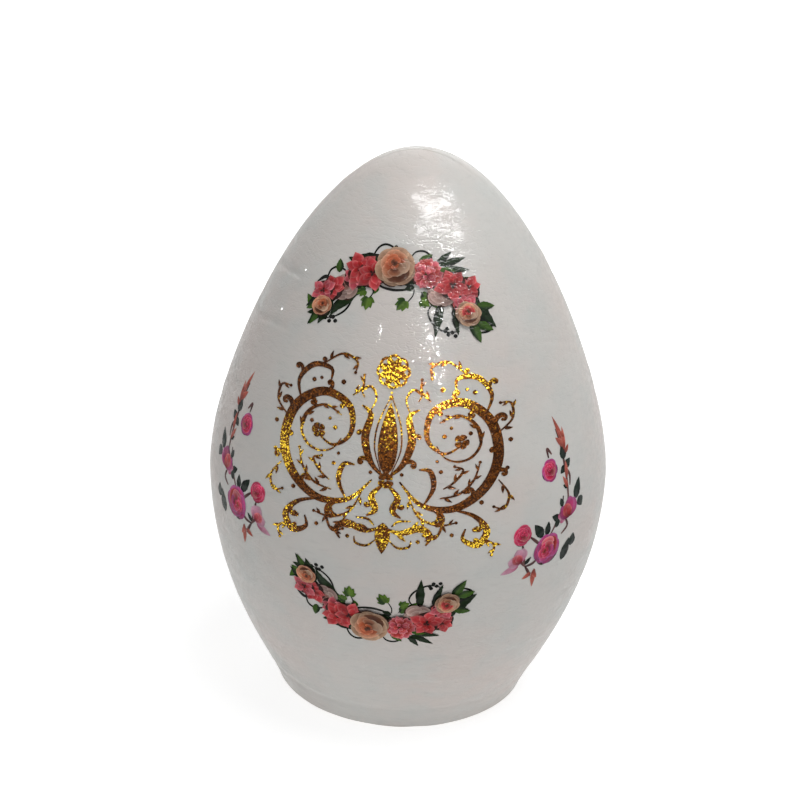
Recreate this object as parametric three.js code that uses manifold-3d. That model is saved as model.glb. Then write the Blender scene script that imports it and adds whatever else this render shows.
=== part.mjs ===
import * as THREE from 'three';
import { mergeVertices } from 'three/addons/utils/BufferGeometryUtils.js';
import Module from 'manifold-3d';

// A hollow cast egg glued on a low foot ring, pasted all over with white tissue,
// with cut-out flower transfers and gold foil ornaments laid on the tissue.
// Lengths are millimetres and angles are degrees. +Z is up, the origin is the
// centre of the foot's underside, and the decorated front faces -Y.

// Outer form, measured over the tissue
const OVERALL_HEIGHT = 141.5;
const BELLY_RADIUS = 50;
const BELLY_HEIGHT = 59.5;
const FOOT_RADIUS = 32.2;
const FOOT_LEAN = 5.5;
// How far the wall keeps its direction before it starts to bend, at each end of its two curves
const FOOT_REACH = 6;
const BELLY_REACH_DOWN = 32;
const BELLY_REACH_UP = 20;
const CROWN_REACH = 27;

// Layers
const TISSUE_THICKNESS = 0.3;
const TRANSFER_THICKNESS = 0.3;
const SEAT_GAP = 0.3;
const TISSUE_HEM_HEIGHT = 0.8;

// Egg casting
const EGG_WALL = 4;
const EGG_FLOOR = 4.5;
const SPIGOT_RADIUS = 26;
const SPIGOT_LENGTH = 3;
const DRAIN_RADIUS = 6;

// Foot ring
const FOOT_HEIGHT = 7;
const FOOT_BORE_RADIUS = 19;
const FOOT_EDGE = 0.8;
const GLUE_GROOVE_RADIUS = 22.5;
const GLUE_GROOVE_WIDTH = 3;
const GLUE_GROOVE_DEPTH = 1.4;

// Where each transfer sits: degrees round from the front, and millimetres from the part it lines up with
const TOP_GARLAND_BELOW_CROWN = 26.5;
const BOTTOM_GARLAND_ABOVE_TABLE = 46;
const BOTTOM_GARLAND_TURN = -6;
const SPRAY_AZIMUTH = 50;
const LEFT_SPRAY_ABOVE_BELLY = 11.5;
const RIGHT_SPRAY_ABOVE_BELLY = 6.5;

// Sizes of the drawings. The gold's rows fill the height between the two garlands' centres.
const GARLAND_ARCH_RADIUS = 24;
const SPRAY_LENGTH = 40;
const SPRAY_ROWS = 40;
const GOLD_ROWS = 69;
const GOLD_CENTRE_ROW = 37;

// Facets
const SEGMENTS = 40;
const LOWER_STEPS = 8;
const UPPER_STEPS = 12;
const STROKE_STEPS = 8;

const degrees = THREE.MathUtils.degToRad;
const manifold = await Module();
manifold.setup();

// Solids

function toSolid(geometry) {
  const bare = geometry.clone();
  bare.deleteAttribute('normal');
  bare.deleteAttribute('uv');
  const merged = mergeVertices(bare);
  const index = merged.index.array;
  const corners = [];
  for (let i = 0; i < index.length; i += 3) {
    const [a, b, c] = [index[i], index[i + 1], index[i + 2]];
    if (a !== b && b !== c && c !== a) {
      corners.push(a, b, c);
    }
  }
  const mesh = new manifold.Mesh({
    numProp: 3,
    vertProperties: new Float32Array(merged.attributes.position.array),
    triVerts: new Uint32Array(corners),
  });
  return new manifold.Manifold(mesh);
}

function toGeometry(solid) {
  const mesh = solid.getMesh();
  const geometry = new THREE.BufferGeometry();
  geometry.setAttribute('position', new THREE.BufferAttribute(new Float32Array(mesh.vertProperties), 3));
  geometry.setIndex(new THREE.BufferAttribute(new Uint32Array(mesh.triVerts), 1));
  geometry.computeVertexNormals();
  return geometry;
}

function joined(solids) {
  return solids.reduce((whole, next) => whole.add(next));
}

// Turns a profile of (radius, height) points round the egg's axis.
// A profile keeps the material on its left as it runs.
function turned(points) {
  const profile = points.map(([radius, height]) => new THREE.Vector2(radius, height));
  const geometry = new THREE.LatheGeometry(profile, SEGMENTS);
  geometry.rotateX(degrees(90));
  return toSolid(geometry);
}

// The egg's outline

const footCurve = new THREE.CubicBezierCurve(
  new THREE.Vector2(FOOT_RADIUS, 0),
  new THREE.Vector2(
    FOOT_RADIUS + FOOT_REACH * Math.sin(degrees(FOOT_LEAN)),
    FOOT_REACH * Math.cos(degrees(FOOT_LEAN)),
  ),
  new THREE.Vector2(BELLY_RADIUS, BELLY_HEIGHT - BELLY_REACH_DOWN),
  new THREE.Vector2(BELLY_RADIUS, BELLY_HEIGHT),
);
const crownCurve = new THREE.CubicBezierCurve(
  new THREE.Vector2(BELLY_RADIUS, BELLY_HEIGHT),
  new THREE.Vector2(BELLY_RADIUS, BELLY_HEIGHT + BELLY_REACH_UP),
  new THREE.Vector2(CROWN_REACH, OVERALL_HEIGHT),
  new THREE.Vector2(0, OVERALL_HEIGHT),
);

// The outline from table to crown, moved inwards by a depth, as [radius, height] points.
function outline(depth, stride = 1) {
  const points = [];
  const follow = (curve, steps, first) => {
    for (let i = first; i <= steps; i += stride) {
      const at = curve.getPoint(i / steps);
      const along = curve.getTangent(i / steps);
      points.push([at.x - along.y * depth, at.y + along.x * depth]);
    }
  };
  follow(footCurve, LOWER_STEPS, 0);
  follow(crownCurve, UPPER_STEPS, stride);
  points[points.length - 1][0] = 0;
  return points;
}

// Radius of an outline at a height.
function radiusAt(points, height) {
  const above = Math.max(1, points.findIndex((point) => point[1] > height));
  const [lowRadius, lowHeight] = points[above - 1];
  const [highRadius, highHeight] = points[above];
  return lowRadius + ((highRadius - lowRadius) * (height - lowHeight)) / (highHeight - lowHeight);
}

// The stretch of an outline above a height, with a point added on that height.
function outlineAbove(points, height) {
  const kept = points.filter((point) => point[1] > height + SEAT_GAP);
  return [[radiusAt(points, height), height], ...kept];
}

// A closed skin over the whole egg between two depths, down to a hem.
function skin(innerDepth, outerDepth, hem) {
  const inner = outlineAbove(outline(innerDepth), hem);
  const outer = outlineAbove(outline(outerDepth), hem);
  return turned([...inner.reverse(), ...outer]);
}

// Layer depths, counted inwards from the tissue's outer face
const CLAY_DEPTH = TISSUE_THICKNESS + SEAT_GAP;
const TRANSFER_INNER_DEPTH = -SEAT_GAP;
const TRANSFER_OUTER_DEPTH = -SEAT_GAP - TRANSFER_THICKNESS;

// Castings

const jointHeight = FOOT_HEIGHT + SEAT_GAP;
const spigotFoot = jointHeight - SPIGOT_LENGTH;
const recessFloor = spigotFoot - SEAT_GAP;
const innerFloor = jointHeight + EGG_FLOOR;

function eggShell() {
  const inside = outlineAbove(outline(CLAY_DEPTH + EGG_WALL, 2), innerFloor);
  const outside = outlineAbove(outline(CLAY_DEPTH), jointHeight);
  return turned([
    ...inside.reverse(),
    [DRAIN_RADIUS, innerFloor],
    [DRAIN_RADIUS, spigotFoot],
    [SPIGOT_RADIUS, spigotFoot],
    [SPIGOT_RADIUS, jointHeight],
    ...outside,
  ]);
}

function footRing() {
  const wall = outline(CLAY_DEPTH);
  const side = outlineAbove(wall, FOOT_EDGE).filter((point) => point[1] < FOOT_HEIGHT - SEAT_GAP);
  const recessRadius = SPIGOT_RADIUS + SEAT_GAP;
  const grooveInner = GLUE_GROOVE_RADIUS - GLUE_GROOVE_WIDTH / 2;
  const grooveOuter = GLUE_GROOVE_RADIUS + GLUE_GROOVE_WIDTH / 2;
  const grooveFloor = recessFloor - GLUE_GROOVE_DEPTH;
  const start = [FOOT_BORE_RADIUS, 0];
  return turned([
    start,
    [radiusAt(wall, 0) - FOOT_EDGE, 0],
    ...side,
    [radiusAt(wall, FOOT_HEIGHT), FOOT_HEIGHT],
    [recessRadius, FOOT_HEIGHT],
    [recessRadius, recessFloor],
    [grooveOuter, recessFloor],
    [grooveOuter, grooveFloor],
    [grooveInner, grooveFloor],
    [grooveInner, recessFloor],
    [FOOT_BORE_RADIUS, recessFloor],
    start,
  ]);
}

// The adhesive fills the groove, with a crowned top just under the spigot.
function glueBead() {
  const half = GLUE_GROOVE_WIDTH / 2 - SEAT_GAP;
  const low = recessFloor - GLUE_GROOVE_DEPTH + SEAT_GAP;
  const high = recessFloor;
  const shoulder = (low + high) / 2;
  const start = [GLUE_GROOVE_RADIUS - half, low];
  return turned([
    start,
    [GLUE_GROOVE_RADIUS + half, low],
    [GLUE_GROOVE_RADIUS + half, shoulder],
    [GLUE_GROOVE_RADIUS, high],
    [GLUE_GROOVE_RADIUS - half, shoulder],
    start,
  ]);
}

// Half of the tissue: side -1 is the front sheet and side 1 the back sheet.
// The two sheets meet at the flanks.
function tissueHalf(side) {
  const span = 4 * BELLY_RADIUS;
  const block = new THREE.BoxGeometry(span, span, 2 * OVERALL_HEIGHT);
  block.translate(0, (side * (span + SEAT_GAP)) / 2, OVERALL_HEIGHT / 2);
  return skin(TISSUE_THICKNESS, 0, TISSUE_HEM_HEIGHT).intersect(toSolid(block));
}

// Flat outlines of the transfers, drawn on the plane that touches the egg at their centre

function polygon(points) {
  return new THREE.Shape(points.map(([x, y]) => new THREE.Vector2(x, y)));
}

// A bloom is a disc whose edge swells out once for each petal.
function bloom(x, y, radius, petals) {
  const points = [];
  const perPetal = 2;
  const notch = 0.16;
  const fullness = 0.7;
  for (let i = 0; i < petals * perPetal; i += 1) {
    const angle = (2 * Math.PI * i) / (petals * perPetal);
    const swell = Math.abs(Math.sin((petals * angle) / 2)) ** fullness;
    const reach = radius * (1 - notch + notch * swell);
    points.push([x + reach * Math.cos(angle), y + reach * Math.sin(angle)]);
  }
  return polygon(points);
}

// A pointed leaf from its stalk end, pointing at an angle counted from +X.
function leaf(x, y, length, width, angle) {
  const points = [];
  const side = 3;
  const towardsStalk = 0.8;
  const turn = degrees(angle);
  const put = (along, across) => points.push([
    x + along * Math.cos(turn) - across * Math.sin(turn),
    y + along * Math.sin(turn) + across * Math.cos(turn),
  ]);
  const halfWidth = (share) => (width / 2) * Math.sin(Math.PI * share ** towardsStalk);
  for (let i = 0; i < side; i += 1) {
    put((length * i) / side, -halfWidth(i / side));
  }
  for (let i = side; i > 0; i -= 1) {
    put((length * i) / side, halfWidth(i / side));
  }
  return polygon(points);
}

// A pen stroke along a smooth line through points, widest at its middle.
function stroke(points, thin, thick, steps = STROKE_STEPS) {
  const line = new THREE.SplineCurve(points.map(([x, y]) => new THREE.Vector2(x, y)));
  const left = [];
  const right = [];
  for (let i = 0; i <= steps; i += 1) {
    const share = i / steps;
    const at = line.getPoint(share);
    const along = line.getTangent(share);
    const half = (thin + (thick - thin) * Math.sin(Math.PI * share)) / 2;
    left.push([at.x - along.y * half, at.y + along.x * half]);
    right.unshift([at.x + along.y * half, at.y - along.x * half]);
  }
  return polygon([...left, ...right].reverse());
}

// Points of an arc about a centre, from one angle to another.
function arc(x, y, radius, from, to, count = 5) {
  const points = [];
  for (let i = 0; i < count; i += 1) {
    const angle = degrees(from + ((to - from) * i) / (count - 1));
    points.push([x + radius * Math.cos(angle), y + radius * Math.sin(angle)]);
  }
  return points;
}

// Cuts a drawing out of the transfer layer, with its centre at a place on the egg.
// The unit is the length on the egg of one unit of the drawing.
function transfer(shapes, { unit, azimuth, height, turn = 0, mirrorX = false, mirrorY = false }) {
  const scaleX = mirrorX ? -unit : unit;
  const scaleY = mirrorY ? -unit : unit;
  const over = 2 * TRANSFER_THICKNESS + 2 * SEAT_GAP;
  const depth = BELLY_RADIUS / 2;
  const low = radiusAt(outline(0), height - over);
  const high = radiusAt(outline(0), height + over);
  const lift = Math.atan2(low - high, 2 * over);
  const place = new THREE.Matrix4()
    .makeRotationZ(degrees(azimuth))
    .multiply(new THREE.Matrix4().makeTranslation(0, -radiusAt(outline(0), height), height))
    .multiply(new THREE.Matrix4().makeRotationX(degrees(90) - lift))
    .multiply(new THREE.Matrix4().makeRotationZ(degrees(turn)));
  const prisms = shapes.map((shape) => {
    const outlinePoints = shape.getPoints().map((point) => [point.x * scaleX, point.y * scaleY]);
    const prism = new THREE.ExtrudeGeometry(polygon(outlinePoints), { depth, bevelEnabled: false });
    prism.translate(0, 0, over - depth);
    prism.applyMatrix4(place);
    return toSolid(prism);
  });
  return skin(TRANSFER_INNER_DEPTH, TRANSFER_OUTER_DEPTH, FOOT_HEIGHT).intersect(joined(prisms));
}

// The garland hangs on an arch of radius 1: angle counts round it from its top, and lift is outwards.
function garlandDrawing() {
  const archDrop = 0.67;
  const leafWidthShare = 0.4;
  const tendrilWidth = 1 / 30;
  const vine = { radius: 0.97, thin: 1 / 12, thick: 1 / 8 };
  const onArch = (angle, lift) => [
    (1 + lift) * Math.sin(degrees(angle)),
    (1 + lift) * Math.cos(degrees(angle)) - archDrop,
  ];
  const blooms = [
    { angle: -5, lift: 0.01, radius: 0.2, petals: 8 },
    { angle: -22, lift: 0.05, radius: 0.16, petals: 6 },
    { angle: -34, lift: -0.01, radius: 0.15, petals: 6 },
    { angle: -44, lift: 0.06, radius: 0.14, petals: 5 },
    { angle: -51, lift: -0.02, radius: 0.13, petals: 7 },
    { angle: 12, lift: -0.02, radius: 0.14, petals: 9 },
    { angle: 24, lift: -0.04, radius: 0.13, petals: 6 },
    { angle: 31, lift: 0.04, radius: 0.14, petals: 6 },
    { angle: 44, lift: -0.07, radius: 0.13, petals: 7 },
  ];
  const leaves = [
    { angle: -55, lift: -0.02, length: 0.28, point: 232 },
    { angle: -56, lift: 0.02, length: 0.2, point: 200 },
    { angle: -46, lift: 0.1, length: 0.2, point: 160 },
    { angle: -22, lift: 0.12, length: 0.28, point: 150 },
    { angle: -40, lift: -0.06, length: 0.26, point: 262 },
    { angle: -27, lift: -0.05, length: 0.3, point: 285 },
    { angle: 17, lift: 0.04, length: 0.36, point: 48 },
    { angle: 18, lift: -0.08, length: 0.3, point: 262 },
    { angle: 38, lift: -0.1, length: 0.3, point: 268 },
    { angle: 49, lift: -0.06, length: 0.3, point: 312 },
    { angle: 46, lift: 0.02, length: 0.28, point: 340 },
    { angle: 52, lift: -0.1, length: 0.24, point: 270 },
  ];
  const loop = (angle, lift, radius, from, to) => (
    stroke(arc(...onArch(angle, lift), radius, from, to), tendrilWidth, tendrilWidth)
  );
  return [
    ...blooms.map(({ angle, lift, radius, petals }) => bloom(...onArch(angle, lift), radius, petals)),
    ...leaves.map(({ angle, lift, length, point }) => (
      leaf(...onArch(angle, lift), length, leafWidthShare * length, point)
    )),
    stroke(arc(0, -archDrop, vine.radius, 148, 32, 9), vine.thin, vine.thick),
    loop(-12, 0.13, 0.11, 215, 20),
    loop(9, 0.1, 0.11, 190, -10),
    loop(-38, 0.12, 0.1, 210, 40),
    loop(39, 0.1, 0.11, 120, -80),
    loop(-5, -0.05, 0.24, 190, 350),
    loop(-44, 0, 0.25, 0, -95),
    loop(37, -0.2, 0.22, 165, 285),
  ];
}

// A spray of rosebuds on a twig, drawn on a square grid for the right flank.
function sprayDrawing() {
  const twigWidth = 1;
  const blooms = [
    { x: -1, y: -10.2, radius: 4.3, petals: 7 },
    { x: -9, y: -4, radius: 2.6, petals: 5 },
    { x: 0.6, y: 9.2, radius: 2.8, petals: 6 },
    { x: 6.3, y: -1.8, radius: 2.6, petals: 5 },
    { x: -10.4, y: -10, radius: 2.5, petals: 5 },
  ];
  const leaves = [
    { x: 5, y: 14.2, length: 6.5, width: 2.2, point: 96 },
    { x: 5, y: 10.2, length: 4, width: 2, point: 70 },
    { x: 5.4, y: 7, length: 3.4, width: 1.8, point: 20 },
    { x: 6.6, y: 0.6, length: 6, width: 1.9, point: 50 },
    { x: 8, y: -1.5, length: 4, width: 2, point: -15 },
    { x: -1.4, y: -7, length: 4.6, width: 2.4, point: 118 },
    { x: 2, y: -11.4, length: 6, width: 2, point: -35 },
    { x: 2.6, y: -9.6, length: 6.6, width: 1.8, point: 8 },
    { x: -10.8, y: -11, length: 4.6, width: 1.8, point: 205 },
    { x: -5.2, y: -13.6, length: 5.4, width: 2, point: 262 },
  ];
  const twigs = [
    [[4.6, 16], [5.2, 11], [6, 4], [6.2, 0], [3.5, -3.4], [0, -8]],
    [[5.4, 7], [3.4, 8.6], [1, 9.4]],
    [[-8.8, -4], [-5.6, -6.6], [-2, -9.4]],
    [[-9, -4.6], [-8, -9], [-5, -14.4], [-2, -11]],
    [[-10, -9.6], [-8, -11], [-5.4, -13.4]],
  ];
  return [
    ...blooms.map(({ x, y, radius, petals }) => bloom(x, y, radius, petals)),
    ...leaves.map(({ x, y, length, width, point }) => leaf(x, y, length, width, point)),
    ...twigs.map((points) => stroke(points, twigWidth, twigWidth)),
  ];
}

// Widths of the gold pen, in units of its drawings: each stroke starts and ends thin
const PEN = { thin: 0.8, fine: 1.3, curl: 1.5, stem: 1.9, bold: 2.2 };

// The right-hand gold scroll: a thick and thin loop that curls in on itself, with two branches.
function goldScrollDrawing() {
  const loop = [
    [3.2, -6.5], [8.5, -11.6], [16, -12], [22.4, -7], [25, 0.5], [22.6, 8.6],
    [16, 12.6], [9.6, 10], [8.8, 3.8], [12.8, 0.6], [17, 3],
  ];
  const lowerBranch = [
    [15, -12.2], [20.4, -13.6], [23.6, -17], [21.8, -20.6], [18.4, -19.4], [18.8, -16.8],
  ];
  const upperBranch = [[21.4, 10], [22.4, 14.6], [19, 18.4], [14.6, 18], [14.4, 15.4]];
  const innerBranch = [[9, -11.6], [11, -7.4], [10, -3.6], [7.4, -3.4]];
  return [
    stroke(loop, PEN.thin, PEN.bold, 3 * STROKE_STEPS),
    stroke(lowerBranch, PEN.thin, PEN.curl, 12),
    stroke(upperBranch, PEN.thin, PEN.fine),
    stroke(innerBranch, PEN.thin, PEN.fine, 6),
    bloom(16.6, 3.6, 1.6, 5),
    leaf(24.4, -2.6, 5, 2, 318),
    leaf(24.8, 2.6, 4.6, 1.8, 35),
    leaf(10.6, -11.8, 5, 2, 250),
    leaf(13, 11.6, 4.6, 1.8, 110),
  ];
}

// The upright centre ornament: a tall drop with two pairs of curled leaves rising from a knot.
function goldPalmetteDrawing() {
  const side = (sign) => {
    const upper = [[0, -6], [3.6, -2.6], [5.4, 3], [4.4, 8.4], [6.6, 10.4]];
    const lower = [[0, -7], [3, -10.2], [2, -13.4], [4, -15]];
    return [
      stroke(upper.map(([x, y]) => [sign * x, y]), PEN.thin, PEN.stem),
      stroke(lower.map(([x, y]) => [sign * x, y]), PEN.thin, PEN.curl),
    ];
  };
  return [bloom(0, -6.4, 1.8, 6), leaf(0, -5.4, 17, 4.6, 90), ...side(1), ...side(-1)];
}

// A round flower medallion above the centre.
function goldRosetteDrawing() {
  return [bloom(0, 18.6, 3.8, 8)];
}

// A hanging drop below the centre, between two small curls.
function goldPendantDrawing() {
  const curl = (sign) => stroke(
    [[0, -17.4], [sign * 4, -18.6], [sign * 8.4, -17.2], [sign * 11, -18.8], [sign * 10, -21.2]],
    PEN.thin,
    PEN.curl,
  );
  return [leaf(0, -16.4, 7.6, 3.6, 270), curl(1), curl(-1)];
}

// Materials

function finish(color, roughness, metalness = 0) {
  return new THREE.MeshStandardMaterial({ color, roughness, metalness });
}

const CLAY = { color: 0xd9cdbd, roughness: 0.8 };
const TISSUE = { color: 0xdcd7d2, roughness: 0.35 };
const PRINT = { color: 0xc4525c, roughness: 0.35 };
const SPRAY = { color: 0xc83c78, roughness: 0.35 };
const GOLD = { color: 0xb8862b, roughness: 0.3, metalness: 0.9 };
const GLUE = { color: 0xd8c070, roughness: 0.4 };

// Assembly

const egg = new THREE.Group();

function piece(name, solid, { color, roughness, metalness }) {
  const mesh = new THREE.Mesh(toGeometry(solid), finish(color, roughness, metalness));
  mesh.name = name;
  egg.add(mesh);
}

const topGarlandHeight = OVERALL_HEIGHT - TOP_GARLAND_BELOW_CROWN;
const sprayUnit = SPRAY_LENGTH / SPRAY_ROWS;
const goldUnit = (topGarlandHeight - BOTTOM_GARLAND_ABOVE_TABLE) / GOLD_ROWS;
const goldPlace = {
  unit: goldUnit,
  azimuth: 0,
  height: BOTTOM_GARLAND_ABOVE_TABLE + GOLD_CENTRE_ROW * goldUnit,
};

piece('egg_shell', eggShell(), CLAY);
piece('foot_ring', footRing(), CLAY);
piece('glue_bead', glueBead(), GLUE);
piece('front_tissue', tissueHalf(-1), TISSUE);
piece('back_tissue', tissueHalf(1), TISSUE);
piece('top_garland', transfer(garlandDrawing(), {
  unit: GARLAND_ARCH_RADIUS,
  azimuth: 0,
  height: topGarlandHeight,
}), PRINT);
piece('bottom_garland', transfer(garlandDrawing(), {
  unit: GARLAND_ARCH_RADIUS,
  azimuth: 0,
  height: BOTTOM_GARLAND_ABOVE_TABLE,
  turn: BOTTOM_GARLAND_TURN,
  mirrorY: true,
}), PRINT);
piece('right_spray', transfer(sprayDrawing(), {
  unit: sprayUnit,
  azimuth: SPRAY_AZIMUTH,
  height: BELLY_HEIGHT + RIGHT_SPRAY_ABOVE_BELLY,
}), SPRAY);
piece('left_spray', transfer(sprayDrawing(), {
  unit: sprayUnit,
  azimuth: -SPRAY_AZIMUTH,
  height: BELLY_HEIGHT + LEFT_SPRAY_ABOVE_BELLY,
  mirrorX: true,
}), SPRAY);
piece('gold_right_scroll', transfer(goldScrollDrawing(), goldPlace), GOLD);
piece('gold_left_scroll', transfer(goldScrollDrawing(), { ...goldPlace, mirrorX: true }), GOLD);
piece('gold_palmette', transfer(goldPalmetteDrawing(), goldPlace), GOLD);
piece('gold_rosette', transfer(goldRosetteDrawing(), goldPlace), GOLD);
piece('gold_pendant', transfer(goldPendantDrawing(), goldPlace), GOLD);

export default egg;
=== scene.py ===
"""A footed decorative egg under white tissue, printed flowers and gold foil, dressed round its frame.

Lengths are metres in the frame: +Z is up, the origin is the centre of the foot's underside, and the
decorated front faces -Y. A drawing of a transfer is in millimetres, with u to the right and v up.
An azimuth is in degrees, counted from the front, and grows towards +X.
"""

import logging
import math
from dataclasses import dataclass, field
from enum import Enum
from typing import ClassVar, Sequence

import bpy
import numpy as np
from mathutils import Matrix, Vector

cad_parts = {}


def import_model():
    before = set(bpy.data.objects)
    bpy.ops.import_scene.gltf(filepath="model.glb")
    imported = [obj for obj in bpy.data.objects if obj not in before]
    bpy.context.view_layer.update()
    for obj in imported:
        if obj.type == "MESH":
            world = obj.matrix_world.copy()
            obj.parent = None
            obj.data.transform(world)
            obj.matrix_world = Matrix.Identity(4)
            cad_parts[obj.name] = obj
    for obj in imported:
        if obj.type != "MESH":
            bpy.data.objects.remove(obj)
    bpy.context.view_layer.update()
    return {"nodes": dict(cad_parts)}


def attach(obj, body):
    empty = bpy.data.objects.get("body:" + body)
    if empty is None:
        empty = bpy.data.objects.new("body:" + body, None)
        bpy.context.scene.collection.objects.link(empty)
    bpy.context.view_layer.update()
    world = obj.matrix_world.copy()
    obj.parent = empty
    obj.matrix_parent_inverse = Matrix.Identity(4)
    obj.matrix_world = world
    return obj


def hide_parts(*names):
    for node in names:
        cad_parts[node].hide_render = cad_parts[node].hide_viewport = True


LOG = logging.getLogger("egg")
MM = 0.001
BODY = "root"
INK = "ink"

Colour = tuple[float, float, float]
Point = tuple[float, float]
Way = tuple[float, float, float]
Array = np.ndarray
Piece = bpy.types.Object
Mesh = bpy.types.Mesh
Material = bpy.types.Material
Socket = bpy.types.NodeSocket
Tone = Socket | Colour

WHITE: Colour = (1.0, 1.0, 1.0)
BLACK: Colour = (0.0, 0.0, 0.0)
SAME_PLACE = 0.00001


def screen(red: int, green: int, blue: int) -> Colour:
    """Turns a colour as a screen shows it into linear light.

    Args:
        red: Red from 0 to 255.
        green: Green from 0 to 255.
        blue: Blue from 0 to 255.

    Returns:
        The colour as three linear values from 0 to 1.
    """

    def linear(value: int) -> float:
        """One channel in linear light."""
        share = value / 255
        return share / 12.92 if share <= 0.04045 else ((share + 0.055) / 1.055) ** 2.4

    return linear(red), linear(green), linear(blue)


def deselect() -> None:
    """Leaves edit mode and lets go of everything."""
    if bpy.context.object is not None and bpy.context.object.mode != "OBJECT":
        bpy.ops.object.mode_set(mode="OBJECT")
    bpy.ops.object.select_all(action="DESELECT")


def take(piece: Piece) -> None:
    """Makes one piece the only selected and the active one."""
    deselect()
    piece.select_set(True)
    bpy.context.view_layer.objects.active = piece


def points_of(mesh: Mesh) -> Array:
    """The mesh's vertices as rows of x, y and z."""
    flat = np.empty(len(mesh.vertices) * 3)
    mesh.vertices.foreach_get("co", flat)
    return flat.reshape(-1, 3)


def set_points(mesh: Mesh, points: Array) -> None:
    """Moves the mesh's vertices to new rows of x, y and z."""
    mesh.vertices.foreach_set("co", points.astype(np.float32).ravel())
    mesh.update()


def smooth(piece: Piece, angle: float) -> None:
    """Shades a piece smooth, apart from edges sharper than an angle in degrees."""
    take(piece)
    bpy.ops.object.shade_smooth_by_angle(angle=math.radians(angle))


def thicken(piece: Piece, thickness: float) -> None:
    """Gives a flat piece a thickness below its face, and applies it."""
    take(piece)
    solidify = piece.modifiers.new("thickness", "SOLIDIFY")
    solidify.thickness = thickness
    solidify.offset = -1
    bpy.ops.object.modifier_apply(modifier=solidify.name)


def edit(action: str = "SELECT") -> None:
    """Enters edit mode and selects all of the active piece, or nothing of it for DESELECT."""
    bpy.ops.object.mode_set(mode="EDIT")
    bpy.ops.mesh.select_all(action=action)


def leave_edit() -> None:
    """Leaves edit mode."""
    bpy.ops.object.mode_set(mode="OBJECT")


def face_out(piece: Piece, way: Vector) -> None:
    """Turns the faces of an open skin so that most of them point along a way out of the egg."""
    take(piece)
    edit()
    bpy.ops.mesh.normals_make_consistent(inside=False)
    leave_edit()
    lean = sum(face.normal.dot(way) * face.area for face in piece.data.polygons)
    if lean < 0:
        edit()
        bpy.ops.mesh.flip_normals()
        leave_edit()


def way_at(azimuth: float) -> Vector:
    """The level direction out of the egg at an azimuth."""
    turn = math.radians(azimuth)
    return Vector((math.sin(turn), -math.cos(turn), 0))


def spin_all(steps: int, angle: float) -> None:
    """Turns all of the active piece round the egg's axis, merges what meets and stays in edit mode.

    Args:
        steps: Number of steps.
        angle: How far it turns, in degrees.
    """
    edit()
    bpy.ops.mesh.spin(steps=steps, angle=math.radians(angle), center=(0, 0, 0), axis=(0, 0, 1))
    bpy.ops.mesh.select_all(action="SELECT")
    bpy.ops.mesh.remove_doubles(threshold=SAME_PLACE)
    bpy.ops.mesh.select_all(action="SELECT")


class Grain:
    """Smooth noise in space from a seed, the same on every run."""

    def __init__(self, seed: int, size: int = 24) -> None:
        """Fills the lattice.

        Args:
            seed: Picks the noise.
            size: Cells before the noise repeats.
        """
        self.size = size
        self.lattice = np.random.default_rng(seed).uniform(-1, 1, (size, size, size))

    def at(self, points: Array, spacing: Way) -> Array:
        """Reads the noise.

        Args:
            points: Rows of x, y and z.
            spacing: Size of a cell along each axis.

        Returns:
            A value from -1 to 1 for each row.
        """
        cell = points / np.array(spacing)
        low = np.floor(cell).astype(int)
        part = cell - low
        part = part * part * (3 - 2 * part)
        total = np.zeros(len(points))
        for corner in np.ndindex(2, 2, 2):
            weight = np.prod(np.where(corner, part, 1 - part), axis=1)
            index = (low + corner) % self.size
            total += weight * self.lattice[index[:, 0], index[:, 1], index[:, 2]]
        return total


@dataclass(frozen=True)
class EggForm:
    """The egg's outline from the table to its crown, as two curves that meet at the belly."""

    height: float = 0.1415
    belly_radius: float = 0.050
    belly_height: float = 0.0595
    foot_radius: float = 0.0322
    foot_lean: float = 5.5
    foot_reach: float = 0.006
    belly_reach_down: float = 0.032
    belly_reach_up: float = 0.020
    crown_reach: float = 0.027
    samples: int = 400
    slope_step: float = 0.0004

    def curves(self) -> list[list[Point]]:
        """The four (radius, height) handles of the foot's curve and of the crown's curve."""
        lean = math.radians(self.foot_lean)
        foot = (self.foot_radius, 0.0)
        leaving = (
            self.foot_radius + self.foot_reach * math.sin(lean),
            self.foot_reach * math.cos(lean),
        )
        belly = (self.belly_radius, self.belly_height)
        under = (self.belly_radius, self.belly_height - self.belly_reach_down)
        over = (self.belly_radius, self.belly_height + self.belly_reach_up)
        beside, crown = (self.crown_reach, self.height), (0.0, self.height)
        return [[foot, leaving, under, belly], [belly, over, beside, crown]]

    def table(self, depth: float = 0.0) -> Array:
        """Samples the outline, moved inwards by a depth, as rows of radius and height."""
        rows = []
        share = np.linspace(0, 1, self.samples)[:, None]
        rest = 1 - share
        for handles in self.curves():
            a, b, c, d = (np.array(handle) for handle in handles)
            at = rest**3 * a + 3 * rest**2 * share * b + 3 * rest * share**2 * c + share**3 * d
            along = rest**2 * (b - a) + 2 * rest * share * (c - b) + share**2 * (d - c)
            along /= np.linalg.norm(along, axis=1)[:, None]
            rows.append(at + depth * np.column_stack([-along[:, 1], along[:, 0]]))
        return np.vstack([rows[0], rows[1][1:]])

    def radius(self, height: Array, depth: float = 0.0) -> Array:
        """The egg's radius at each height."""
        table = self.table(depth)
        return np.interp(height, table[:, 1], table[:, 0])

    def slope(self, height: Array) -> Array:
        """How fast the radius grows with height, at each height."""
        above, below = self.radius(height + self.slope_step), self.radius(height - self.slope_step)
        return (above - below) / (2 * self.slope_step)

    def outward(self, points: Array) -> Array:
        """The direction straight out of the egg at each point."""
        slope = self.slope(points[:, 2])
        flat = np.hypot(points[:, 0], points[:, 1]) + 1e-9
        ways = np.column_stack([points[:, 0] / flat, points[:, 1] / flat, -slope])
        return ways / np.linalg.norm(ways, axis=1)[:, None]


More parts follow.
